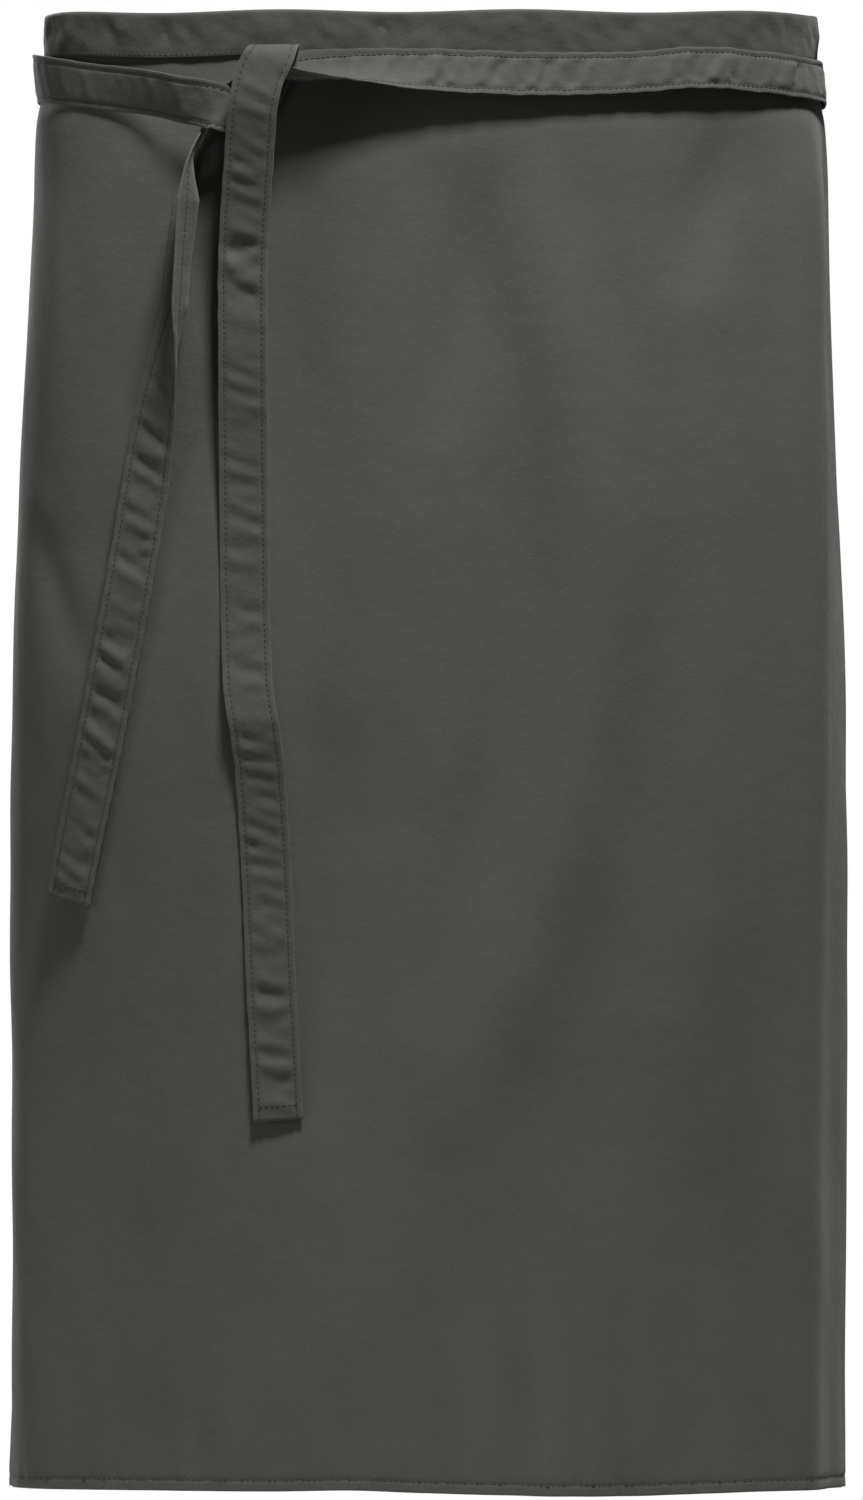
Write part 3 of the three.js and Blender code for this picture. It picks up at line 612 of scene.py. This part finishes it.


# Waistband. A strip of the same twill folded over the panel's upper edge and stitched through all
# its layers near the lower edge, which puckers it from end to end. Its grey is darker than the
# panel's: painted shade for the dimmer light round the waist.
GAP = 0.3                    # between pieces that touch in the real apron
BAND_LEG = 0.85              # thickness of the folded strip's two legs
BAND_RADIUS = CLOTH / 2 + GAP + CLOTH
BAND_FACE = CLOTH / 2 + BAND_RADIUS
BAND_ROW = BAND_FOOT + 2.3   # height of its row of stitches
BAND_WAVE = 0.8              # height of the slow wave that it makes along the waist
BAND_WAVE_LENGTH = 130.0
BAND_WAVE_START = 16.0
BAND_COLUMNS = 620
BAND_WEAR = 0.5
INNER_PUCKERS = 0.35         # strength of the puckers on the body's side
BAND_SLANT = 0.35            # how far its puckers lean for each millimetre of height
BAND_PUCKERED = (1.5, 9)     # height at which they are strongest, and how far they reach
BAND_EDGE_REACH = 4
BAND_GROOVE_DEPTH = 0.3
BAND_GROOVE = 0.8            # width of the groove under its stitches
# darker than the panel's grey, though the cloth is the same: painted shade for the dimmer light
# round the waist
BAND_GREY_PAINTED_SHADE = (0.042, 0.041, 0.037)

# Ripples of the waistband, with the columns of the panel's.
BAND_RIPPLES = (0.55, 0.8, 30, 8, 21)
BAND_FINE_RIPPLES = (0.2, 0.7, 12, 8, 22)
BAND_EDGE_RIPPLES = (0.14, 0, 7, 6, 24)


def band_puckers(arc, z):
    """Puckers of the waistband, in millimetres: uneven waves along it, strongest between the fold
    and the stitching, small ones along its lower edge, and a groove under the stitches."""
    slant = arc + BAND_SLANT * z
    waves = cloth_ripples(slant, z, *BAND_RIPPLES) + cloth_ripples(slant, z, *BAND_FINE_RIPPLES)
    edge = cloth_ripples(arc, z, *BAND_EDGE_RIPPLES) * bell(z, BAND_FOOT, BAND_EDGE_REACH)
    groove = BAND_GROOVE_DEPTH * bell(z, BAND_ROW, BAND_GROOVE)
    return bell(z, *BAND_PUCKERED) * waves + edge - groove


def band_wave(arc):
    """Height of the waistband's slow wave at an arc: a sine along the waist."""
    return BAND_WAVE * np.sin(2 * np.pi * (arc - BAND_WAVE_START) / BAND_WAVE_LENGTH)


def band_rings(columns):
    """Rings of the waistband: up its outer leg, over half a circle, down its inner leg, and back
    inside at BAND_LEG's distance. The puckers are weaker on the body's side, and the height
    follows a slow wave along the waist."""
    def face(radius, steps=14):
        """Outline of one face of the folded strip: up, over half a circle and down."""
        rise = np.linspace(BAND_FOOT, BAND_TOP - BAND_RADIUS, steps)
        bend = np.linspace(0, np.pi, 9)[1:-1]
        out = np.concatenate([np.full(steps, radius), radius * np.cos(bend),
                              np.full(steps, -radius)])
        z = np.concatenate([rise, BAND_TOP - BAND_RADIUS + radius * np.sin(bend), rise[::-1]])
        return out, z

    outer_out, outer_z = face(BAND_RADIUS)
    inner_out, inner_z = face(BAND_RADIUS - BAND_LEG)
    out = np.concatenate([outer_out, inner_out[::-1]])
    z = np.concatenate([outer_z, inner_z[::-1]])
    arc, height = np.broadcast_arrays(columns[:, None], z[None, :])
    points, outward, _, _ = place_at(arc, height)
    side = np.where(out > 0, 1.0, INNER_PUCKERS)[None, :]
    lift = CLOTH / 2 + out[None, :] + side * band_puckers(arc, height)
    points = points + outward * lift[..., None]
    points[..., 2] += band_wave(columns)[:, None]
    return points, z


band_columns = np.linspace(-half_panel, half_panel, BAND_COLUMNS)
rings, ring_z = band_rings(band_columns)
round_way = np.append(0, np.cumsum(np.hypot(*np.diff(rings[0], axis=0).T[1:])))
round_way = np.append(round_way, round_way[-1] + 1)
fold_wear = BAND_WEAR * bell(ring_z, BAND_TOP, 1.6)
band = sewn_solid("waistband_cloth", rings, uv_grid(band_columns, round_way), fold_wear[None, :])
# the waistband's twill, with its darker grey as painted shade
band_twill = twill("band_twill", BAND_GREY_PAINTED_SHADE, pucker=0.25)
band.data.materials.append(band_twill)
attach(band, "root")
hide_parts("waistband")

band_row = np.arange(-half_panel + 2, half_panel - 2, STITCH_PITCH)
places, outward, _, _ = place_at(band_row, BAND_ROW)
places = places + outward * (BAND_FACE + band_puckers(band_row, BAND_ROW) + 0.02)[:, None]
places[:, 2] += band_wave(band_row)
stitches("waistband_stitches", places, np.gradient(places, axis=0), outward)


# Ties. Each is a strip of the twill folded in and stitched near both edges, 27 mm wide and 1.2 m
# long, sewn onto its end of the waistband. They cross behind and are half-knotted in front: the
# left one comes up behind the right one, falls over it and hangs, and the right one hangs beside.
TIE_WIDTH = 27.0
TIE_THICK = 2.0              # room that the tie takes, with its puckers
TIE_CLOTH = 1.45             # thickness of its folded cloth
TIE_LAP = 30.0
SLACK = 0.15
SEAT = GAP + SLACK + TIE_THICK / 2
BAND_SHADE = BAND_FOOT - BAND_WAVE - GAP     # below this height a strap lies on the panel
KNOT_ACROSS = -85.0
KNOT_DROP = 18.5
LOOP_RISE = 12.5
LONG_END = 581.0
SHORT_END = 450.0
SEAM_PLACE = 0.76            # rows of stitches, as a share of half the width
SEAM_LIFT = TIE_CLOTH / 2 * 0.3 + 0.14
TIP_ROW = 8.0                # from the tip to the row of stitches across it
TIP_LIFT = TIE_CLOTH / 2 + 0.02
CURL = 1.0                   # sag of a strap that stands on edge, as a share of half its width
SAG_MIDDLE = 0.66            # how far out the sag's middle lies, in sags
GATHERED = 0.8               # share of its width at which a strap no longer sags
SAG_SPAN = 0.15              # how much more of its width lets it sag in full
MENDS = 12                   # times that a place in front is corrected
# paler edges of the ties: partly rubbed cloth and partly a painted highlight where the edges catch
# the light
TIE_WEAR_AND_HIGHLIGHT = 0.4
# darker than the panel's grey, though the cloth is the same: painted shade for the dimmer light
# round the waist
TIE_GREY_PAINTED_SHADE = (0.052, 0.051, 0.046)
TIE_STEP = 1.9               # longest step along the strap
TIE_AROUND = 64

# Columns across the back: share of the gap from one end of the waistband, -1, to the other, 1;
# drop in tie widths; layer, in thicknesses, from where a strap lies on the waistband.
RIGHT_TIE_BACK = [
    (-0.8, 0.02, 0.5), (-0.4, 0.3, 0.6), (0.0, 0.6, 0.7), (0.5, 0.93, 1.0), (0.8, 1.08, 1.05),
]
LEFT_TIE_BACK = [
    (-0.8, 0.02, -0.35), (-0.4, 0.3, -0.85), (0.0, 0.6, -1.0), (0.5, 0.93, -1.0),
    (0.78, 1.11, -0.78),
]
# Columns round the side: turn in half rounds from the front's middle; drop and raise in tie widths;
# tilt in degrees; width as a share.
RIGHT_TIE_WRAP = [
    (1.07, 1.17, 0.06, 0, 1.0), (1.12, 1.18, 0.04, 0, 1.0), (1.2, 1.1, 0.04, 0, 1.0),
    (1.32, 1.04, 0.04, 0, 1.0), (1.42, 0.97, 0.04, 0, 0.95), (1.5, 0.93, 0.03, 0, 0.88),
    (1.58, 0.86, 0.04, -4, 0.85), (1.66, 0.74, 0.06, -8, 0.84), (1.73, 0.66, 0.1, -12, 0.84),
    (1.8, 0.77, 0.05, -12, 0.84), (1.9, 0.81, 0.04, -14, 0.9), (2.0, 0.74, 0.04, -24, 0.92),
    (2.06, 0.69, 0.06, -42, 0.92), (2.1, 0.67, 0.1, -55, 0.93),
]
LEFT_TIE_WRAP = [
    (1.066, 1.18, 0.06, 0, 1.0), (1.12, 1.16, 0.04, 0, 1.0), (1.2, 1.04, 0.04, 0, 1.0),
    (1.32, 0.95, 0.04, 0, 1.0), (1.42, 0.87, 0.05, 6, 1.0), (1.5, 0.82, 0.06, 10, 1.0),
    (1.58, 0.87, 0.07, 12, 0.95), (1.65, 1.02, 0.12, 12, 0.9),
]
# Columns at the knot: across and drop from the knot, and raise, in tie widths; tilt; direction of
# the strap's first upper edge in degrees from the right; width as a share.
RIGHT_TIE_KNOT = [
    (0.46, -0.02, 0.14, -68, 90, 0.94), (0.16, 0.0, 0.16, -84, 95, 0.9),
    (-0.14, 0.01, 0.16, -90, 120, 0.88), (-0.42, 0.07, 0.14, -90, 150, 0.82),
    (-0.66, 0.2, 0.1, -90, 165, 0.72), (-0.87, 0.38, 0.04, -88, 175, 0.54),
    (-1.08, 0.68, 0.03, -86, 180, 0.5), (-1.28, 1.0, 0.03, -84, 180, 0.5),
    (-1.45, 1.34, 0.04, -82, 180, 0.56),
]
LEFT_TIE_KNOT = [
    (-2.45, 0.5, 0.28, 13, 92, 0.94), (-1.85, 0.64, 0.5, 12, 94, 0.96),
    (-1.4, 0.72, 0.66, 6, 92, 0.96), (-1.12, 0.79, 0.7, 0, 90, 0.95),
    (-0.86, 0.95, 0.54, 0, 88, 0.74), (-0.58, 0.94, 0.18, 0, 95, 0.52),
    (-0.3, 0.82, 0.06, 0, 120, 0.5), (-0.1, 0.5, 0.05, 0, 155, 0.58),
    (-0.02, 0.16, 0.05, 0, 176, 0.75), (0.0, -0.16, 0.05, 0, 180, 0.92),
    (0.01, -0.34, 0.12, 0, 180, 0.98), (0.01, -0.42, 0.36, 0, 180, 1.0),
    (0.01, -0.43, 0.8, 0, 180, 1.0), (-0.01, -0.38, 1.06, 0, 180, 1.0),
    (-0.08, -0.2, 1.18, 0, 180, 1.0),
]
# Columns of the hanging ends: share of the way down; across and raise in tie widths; tilt; width.
# The left one hangs flat and at its full width.
RIGHT_TIE_END = [
    (0.11, -1.66, 0.04, -78, 0.82), (0.157, -1.79, 0.04, -70, 0.98), (0.228, -1.92, 0.05, -63, 1.0),
    (0.285, -2.0, 0.07, -60, 1.0), (0.32, -2.08, 0.07, -48, 1.0), (0.381, -2.25, 0.06, -28, 1.0),
    (0.468, -2.49, 0.05, -6, 1.0), (0.52, -2.62, 0.05, 2, 1.0), (0.67, -3.05, 0.05, 6, 1.0),
    (0.825, -3.54, 0.04, 8, 1.0), (0.93, -3.9, 0.03, 9, 1.0), (1.0, -4.12, 0.03, 9, 1.0),
]
LEFT_TIE_END = [(*row, 0, 1.0) for row in [
    (0.026, -0.24, 1.2), (0.055, -0.4, 1.12), (0.1, -0.48, 0.84), (0.18, -0.6, 0.52),
    (0.29, -0.61, 0.36), (0.38, -0.6, 0.16), (0.47, -0.58, 0.06), (0.55, -0.55, 0.09),
    (0.6, -0.5, 0.26), (0.63, -0.4, 0.36), (0.66, -0.31, 0.26), (0.7, -0.24, 0.13),
    (0.75, -0.17, 0.05), (0.89, -0.03, 0.04), (1.0, 0.1, 0.05),
]]
# Strength of the puckers. Columns: share of the tie's length; millimetres.
RIGHT_TIE_SLACK = [
    (0, 0.1), (0.1, 0.12), (0.3, 0.4), (0.34, 1.0), (0.37, 1.9), (0.5, 1.9), (0.54, 1.2),
    (0.58, 0.4), (0.64, 0.1), (0.745, 0.16), (0.77, 1.1), (0.82, 1.1), (0.86, 0.8), (1, 0.7),
]
LEFT_TIE_SLACK = [
    (0, 0.1), (0.1, 0.12), (0.3, 0.4), (0.44, 0.4), (0.55, 0.5), (0.575, 1.2), (0.615, 1.2),
    (0.65, 0.6), (0.79, 0.6), (0.83, 1.1), (0.95, 1.2), (0.98, 0.6), (1, 0.5),
]

# Waves of a tie's cloth. Columns: height as a share of the puckers' strength; how far a wave leans
# over half the width, and weight of the way across, in millimetres; length; number of waves; what
# is added to the tie's seed. Swell is a share of the height of all puckers.
SLANTING_WAVES = (0.5, 5.0, 1.5, 12.5, 9, 0)
TOP_WAVES = (0.4, 3.0, 0.0, 9.5, 7, 1)
BOTTOM_WAVES = (0.4, -3.0, 0.0, 9.5, 7, 2)
SWELL_WAVES = (0.35, 0.0, 0.0, 55.0, 5, 3)
SWAY_WAVES = (0.12, 0.0, 0.0, 13.0, 6, 5)
CROSS_WAVES = (0.45, 1.5, 0.0, 13.0, 6, 7)
SWELL = (0.75, 0.4, 1.25)    # usual height of the puckers, the least and the most
PUFF = 0.3                   # how far the cloth stands up without any wave
EDGE_WAVES = (0.62, 0.4)     # where the waves beside the edges are highest, and their reach
SEAM_HOLD = 0.8              # how much of the puckers the rows of stitches take away
SEAM_FADE = 0.36             # how far inside those rows that begins
SEAM_FADE_SPAN = 0.4


def stations(place, outward, along, out, tilt, turned, width):
    """Middles, upper edge directions, widths and curls of a strap's stations. The edge direction is
    turned from the way along the cloth towards up, then tilted out of the cloth. A strap that
    isn't gathered curls across with the square of its tilt's sine."""
    tilt, turned = np.radians(tilt)[:, None], np.radians(turned)[:, None]
    up = np.array([0.0, 0.0, 1.0])
    edge = (along * np.cos(turned) + up * np.sin(turned)) * np.cos(tilt) + outward * np.sin(tilt)
    middle = place + outward * out[:, None]
    curl = CURL * np.clip((width - GATHERED) / SAG_SPAN, 0, 1) * np.sin(tilt[:, 0]) ** 2
    return np.column_stack([middle, edge, width * TIE_WIDTH, curl])


def back_stations(side, rows):
    """Stations at a distance from the waistband's face: turn, drop and layer in each row."""
    turn, drop, layer = np.array(rows, float).T
    place, outward, along, _ = place_at(side * turn * half_round(0.0), np.zeros(len(turn)))
    place[:, 2] = -drop * TIE_WIDTH
    out = BAND_FACE + SEAT + layer * (TIE_THICK + GAP)
    level = np.zeros(len(turn))
    return stations(place, outward, along, out, level, level + 90, level + 1)


def wrap_stations(side, rows):
    """Stations that lie on the waistband or on the cloth that flares out below it: each leans as
    the two heights of its edges do, and stands off by its raise and the reach of its tilt."""
    turn, drop, lift, tilt, width = np.array(rows, float).T
    z = -drop * TIE_WIDTH
    half = width * TIE_WIDTH / 2
    place, outward, along, _ = place_at(side * turn * half_round(z), z)

    def cover(height):
        """How far out the waistband or the cloth reaches at a height, from the strap's place."""
        there, _, _, arc = place_at(side * turn * half_round(height), height)
        face = np.where(height > BAND_SHADE, BAND_FACE, CLOTH + drape(arc, height))
        return np.sum((there - place) * outward, axis=1) + face

    upper = cover(z + half)
    lower = np.maximum(cover(z - half), upper)
    tilt = tilt - np.degrees(np.arctan2(lower - upper, 2 * half))
    out = upper + SEAT + lift * TIE_WIDTH + half * np.abs(np.sin(np.radians(tilt)))
    return stations(place, outward, along, out, tilt, np.full(len(turn), 90.0), width)


def front_stations(across, z, lift, tilt, turned, width):
    """Stations in front whose middle is seen at a place across and a height: the arc is mended
    several times by what is still missing across."""
    x = KNOT_ACROSS + across * TIE_WIDTH
    reach = 0.5 * width * TIE_WIDTH * np.abs(np.sin(np.radians(tilt)))
    out = CLOTH + SEAT + lift * TIE_WIDTH + reach
    arc = x
    for _ in range(MENDS + 1):
        place, outward, along, wound = place_at(arc, z)
        raised = out + drape(wound, z)
        arc = wound + x - (place[:, 0] + outward[:, 0] * raised)
    return stations(place, outward, along, raised, tilt, turned, width)


def tie_stations(side, back, wrap, knot, end, fall_from, fall_length):
    """All stations of a tie, from its lap on the waistband's end to its tip."""
    whole = half_round(0.0)
    end_turn, lap_turn = half_panel / whole, (half_panel - TIE_LAP) / whole
    lap = [(turn, 0, 0) for turn in (lap_turn, (end_turn + lap_turn) / 2, end_turn)]
    lap += [(1 + gap * (1 - end_turn), drop, layer) for gap, drop, layer in back]
    across, drop, lift, tilt, turned, width = np.array(knot, float).T
    knotted = front_stations(across, -KNOT_DROP - drop * TIE_WIDTH, lift, tilt, turned, width)
    share, across, lift, tilt, width = np.array(end, float).T
    hanging = front_stations(across, -fall_from - share * fall_length, lift, tilt,
                             np.full(len(share), 180.0), width)
    return np.concatenate([back_stations(side, lap), wrap_stations(side, wrap), knotted, hanging])


def curve_through(points, steps, even):
    """A smooth curve through points, from a cubic between each two. Its slopes take the spacing of
    the points into account, by the root of their distances, unless even. Steps are how many parts
    each span gets."""
    before = np.concatenate([[2 * points[0] - points[1]], points[:-1]])[:-1]
    first, second = points[:-1], points[1:]
    after = np.concatenate([points[1:], [2 * points[-1] - points[-2]]])[1:]
    if even:
        leaving, arriving = (second - before) / 2, (after - first) / 2
    else:
        d0, d1, d2 = (np.sqrt(np.linalg.norm(b - a, axis=1))[:, None]
                      for a, b in ((before, first), (first, second), (second, after)))
        leaving = d1 * ((first - before) / d0 - (second - before) / (d0 + d1)
                        + (second - first) / d1)
        arriving = d1 * ((second - first) / d1 - (after - first) / (d1 + d2)
                         + (after - second) / d2)
    span = np.repeat(np.arange(len(steps)), steps)
    t = np.concatenate([np.arange(n) / n for n in steps])
    span, t = np.append(span, len(steps) - 1), np.append(t, 1.0)[:, None]
    curve = cubic(t, first[span], leaving[span], second[span], arriving[span])
    return curve, span, t[:, 0]


def strap_frame(rows):
    """The strap's middle line in short steps, with its edge and face directions, its width, its
    curl and the length run from its start."""
    apart = np.linalg.norm(np.diff(rows[:, :3], axis=0), axis=1)
    steps = np.maximum(2, np.ceil(apart / TIE_STEP)).astype(int)
    middle, span, t = curve_through(rows[:, :3], steps, even=False)
    edge, _, _ = curve_through(rows[:, 3:6], steps, even=True)
    tangent = np.gradient(middle, axis=0)
    tangent /= np.linalg.norm(tangent, axis=1, keepdims=True)
    edge -= tangent * np.sum(edge * tangent, axis=1, keepdims=True)
    edge /= np.linalg.norm(edge, axis=1, keepdims=True)
    after = np.minimum(span + 1, len(rows) - 1)
    width = rows[span, 6] * (1 - t) + rows[after, 6] * t
    curl = rows[span, 7] * (1 - t) + rows[after, 7] * t
    run = np.append(0, np.cumsum(np.linalg.norm(np.diff(middle, axis=0), axis=1)))
    return middle, tangent, edge, np.cross(tangent, edge), width, curl, run


def tie_waves(run, across, seed, height, lean, weight, length, count, more_seed):
    """Ripples of one row of the table: their run shifts with the place across the tie."""
    return height * ripples(run + lean * across, weight * across, length, count, seed + more_seed)


def tie_puckers(run, across, seed, strength):
    """Dents of a strap that its edge stitching draws up, in millimetres: slanting and crosswise
    waves over its width and small ones beside each edge. They swell and shrink along the strap,
    and fade towards its rows of stitches."""
    usual, least, most = SWELL
    highest, reach = EDGE_WAVES
    swell = np.clip(usual + tie_waves(run, across, seed, *SWELL_WAVES), least, most)
    waves = (PUFF + tie_waves(run, across, seed, *SLANTING_WAVES)
             + tie_waves(run, across, seed, *CROSS_WAVES)
             + bell(across, highest, reach) * tie_waves(run, across, seed, *TOP_WAVES)
             + bell(across, -highest, reach) * tie_waves(run, across, seed, *BOTTOM_WAVES))
    past_row = np.abs(across) - SEAM_PLACE + SEAM_FADE
    within = 1 - SEAM_HOLD * smooth(past_row / SEAM_FADE_SPAN)
    return strength * swell * waves * within


def tie(name, side, rows, seed, slack, node_name):
    """A tie: a flattened ring of points, rounded at its edges and pinched at its two rows of
    stitches, carried along the strap's line. Across, it sags by a parabola. Slack gives the
    puckers' strength by the run."""
    middle, tangent, edge, face, width, curl, run = strap_frame(rows)
    sag = curl * width / 2
    strength = np.interp(run / run[-1], *np.array(slack, float).T)
    across, deep = strap_section(TIE_AROUND, 0.16)
    pinch = 1 - 0.8 * bell(np.abs(across), SEAM_PLACE, 0.06)
    long_way, round_way = run[:, None], across[None, :]
    dents = side * tie_puckers(long_way, round_way, seed, strength[:, None])
    sway = strength[:, None] * tie_waves(long_way, round_way, seed, *SWAY_WAVES)
    bow = sag[:, None] * (SAG_MIDDLE - round_way ** 2)
    lift = (deep * pinch)[None, :] * TIE_CLOTH / 2 + dents + bow
    wide = round_way * width[:, None] / 2 + sway
    rings = middle[:, None] + edge[:, None] * wide[..., None] + face[:, None] * lift[..., None]
    uv = uv_grid(run, np.append(across, across[0]) * TIE_WIDTH / 2)
    # paler edges: partly rubbed cloth, partly a painted highlight where the edges catch the light
    worn_and_highlit = TIE_WEAR_AND_HIGHLIGHT * bell(np.abs(across), 1, 0.05)
    piece = sewn_solid(name, rings, uv, worn_and_highlit[None, :])
    piece.data.materials.append(tie_twill)
    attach(piece, "root")
    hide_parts(node_name)

    line = np.column_stack([middle, tangent, edge, face, width, sag, strength])

    def spots(marks, across, off, swayed):
        """Places on the strap at marks along its run and shares across, so far off its middle
        layer, and the strap's directions there: along, across and out of its face."""
        here = np.stack([np.interp(marks, run, column) for column in line.T], axis=1)
        along_here, edge_here, face_here = here[:, 3:6], here[:, 6:9], here[:, 9:12]
        width_here, sag_here, strength_here = here[:, 12:].T
        dent = side * tie_puckers(marks, across, seed, strength_here)
        up = dent + sag_here * (SAG_MIDDLE - across ** 2) + off
        aside = across * width_here / 2
        if swayed:
            aside = aside + strength_here * tie_waves(marks, across, seed, *SWAY_WAVES)
        spot = here[:, :3] + edge_here * aside[:, None] + face_here * up[:, None]
        return spot, along_here, edge_here, face_here

    marks = np.arange(4, run[-1] - 3, STITCH_PITCH)
    across_tip = np.arange(-0.72, 0.73, STITCH_PITCH / (TIE_WIDTH / 2))
    tip_marks = np.full(len(across_tip), run[-1] - TIP_ROW)
    sewn = []
    for place in (SEAM_PLACE, -SEAM_PLACE):
        for sign in (1, -1):
            spot, along_here, _, out = spots(marks, np.full(len(marks), place),
                                             sign * SEAM_LIFT, True)
            sewn.append((spot, along_here, sign * out))
    for sign in (1, -1):
        spot, _, across_here, out = spots(tip_marks, across_tip, sign * TIP_LIFT, False)
        sewn.append((spot, across_here, sign * out))
    stitches(f"{name}_stitches", *[np.concatenate(parts) for parts in zip(*sewn)])


# the ties' twill, with its darker grey as painted shade
tie_twill = twill("tie_twill", TIE_GREY_PAINTED_SHADE, pucker=0.3)
tie("tie_left_cloth", 1,
    tie_stations(1, LEFT_TIE_BACK, LEFT_TIE_WRAP, LEFT_TIE_KNOT, LEFT_TIE_END,
                 KNOT_DROP - LOOP_RISE, LONG_END),
    40, LEFT_TIE_SLACK, "tie_left")
tie("tie_right_cloth", -1,
    tie_stations(-1, RIGHT_TIE_BACK, RIGHT_TIE_WRAP, RIGHT_TIE_KNOT, RIGHT_TIE_END,
                 KNOT_DROP, SHORT_END),
    60, RIGHT_TIE_SLACK, "tie_right")


# Floor and light. A plain pale floor lies under the apron as it is worn, and fades out into white.
# The main lamp is small and stands high and slightly right in front, so that the ties cast clear
# shadows. Weaker broad ones stand at the left and low behind, and a faint light comes from all
# round.
FLOOR_LEVEL = -1.05
FLOOR_RADIUS = 1.6
FLOOR_CORNERS = 64
FLOOR_FADE = (0.5, 1.55)     # distances from its middle between which the floor fades out
LIGHT_ALL_ROUND = 0.085
floor_mesh = bpy.data.meshes.new("floor")
turn = 2 * np.pi * np.arange(FLOOR_CORNERS) / FLOOR_CORNERS
floor_corners = np.stack([FLOOR_RADIUS * np.cos(turn), FLOOR_RADIUS * np.sin(turn),
                          np.full(FLOOR_CORNERS, FLOOR_LEVEL)], axis=1)
floor_mesh.from_pydata(floor_corners, [], [list(range(FLOOR_CORNERS))])
floor = bpy.data.objects.new("floor", floor_mesh)
bpy.context.scene.collection.objects.link(floor)
pale_floor, tree = blank_material("pale_floor")
place = node(tree, "ShaderNodeTexCoord", {}, [], output=3)
level_place = node(tree, "ShaderNodeVectorMath", {"operation": "MULTIPLY"},
                   {0: place, 1: (1.0, 1.0, 0.0)})
from_middle = node(tree, "ShaderNodeVectorMath", {"operation": "LENGTH"},
                   {0: level_place}, output=1)
shown = node(tree, "ShaderNodeMapRange", {"interpolation_type": "SMOOTHSTEP"},
             {0: from_middle, 1: FLOOR_FADE[0], 2: FLOOR_FADE[1], 3: 1.0, 4: 0.0})
surface = node(tree, "ShaderNodeBsdfPrincipled", {},
               {"Base Color": (0.74, 0.74, 0.73, 1), "Roughness": 0.9})
clear = node(tree, "ShaderNodeBsdfTransparent", {}, [])
fading = node(tree, "ShaderNodeMixShader", {}, [shown, clear, surface])
node(tree, "ShaderNodeOutputMaterial", {}, {"Surface": fading})
floor.data.materials.append(pale_floor)

world = bpy.data.worlds.new("white")
bpy.context.scene.world = world
world.use_nodes = True
tree = world.node_tree
tree.nodes.clear()
seen = node(tree, "ShaderNodeLightPath", {}, [], output=0)
white = node(tree, "ShaderNodeBackground", {}, {"Color": (1, 1, 1, 1), "Strength": 1.0})
weak = node(tree, "ShaderNodeBackground", {},
            {"Color": (1, 1, 1, 1), "Strength": LIGHT_ALL_ROUND})
both = node(tree, "ShaderNodeMixShader", {}, [seen, weak, white])
node(tree, "ShaderNodeOutputWorld", {}, {"Surface": both})


def area_light(name, towards, away, size, power, aim):
    """A square lamp, so far away from a point in a direction, turned to face that point."""
    data = bpy.data.lights.new(name, "AREA")
    data.size = size
    data.energy = power
    lamp = bpy.data.objects.new(name, data)
    direction = np.array(towards, float) / np.linalg.norm(towards)
    lamp.location = np.array(aim) + direction * away
    x = np.cross([0.0, 0.0, 1.0], direction)
    x /= np.linalg.norm(x)
    y = np.cross(direction, x)
    turned = np.eye(4)
    turned[:3, 0], turned[:3, 1], turned[:3, 2] = x, y, direction
    turned[:3, 3] = lamp.location
    lamp.matrix_world = Matrix(turned.tolist())
    bpy.context.scene.collection.objects.link(lamp)


area_light("main_light", (0.3, -1.0, 2.0), 2.2, 0.4, 108.0, (0.0, -0.1, -0.1))
area_light("side_light", (-1.6, -0.6, 0.2), 2.6, 1.2, 12.0, (0.0, -0.1, -0.5))
area_light("back_light", (-0.35, 1.0, 0.25), 2.6, 1.2, 60.0, (0.0, 0.1, -0.3))

bpy.context.view_layer.update()

bpy.context.scene.view_settings.view_transform = "Standard"
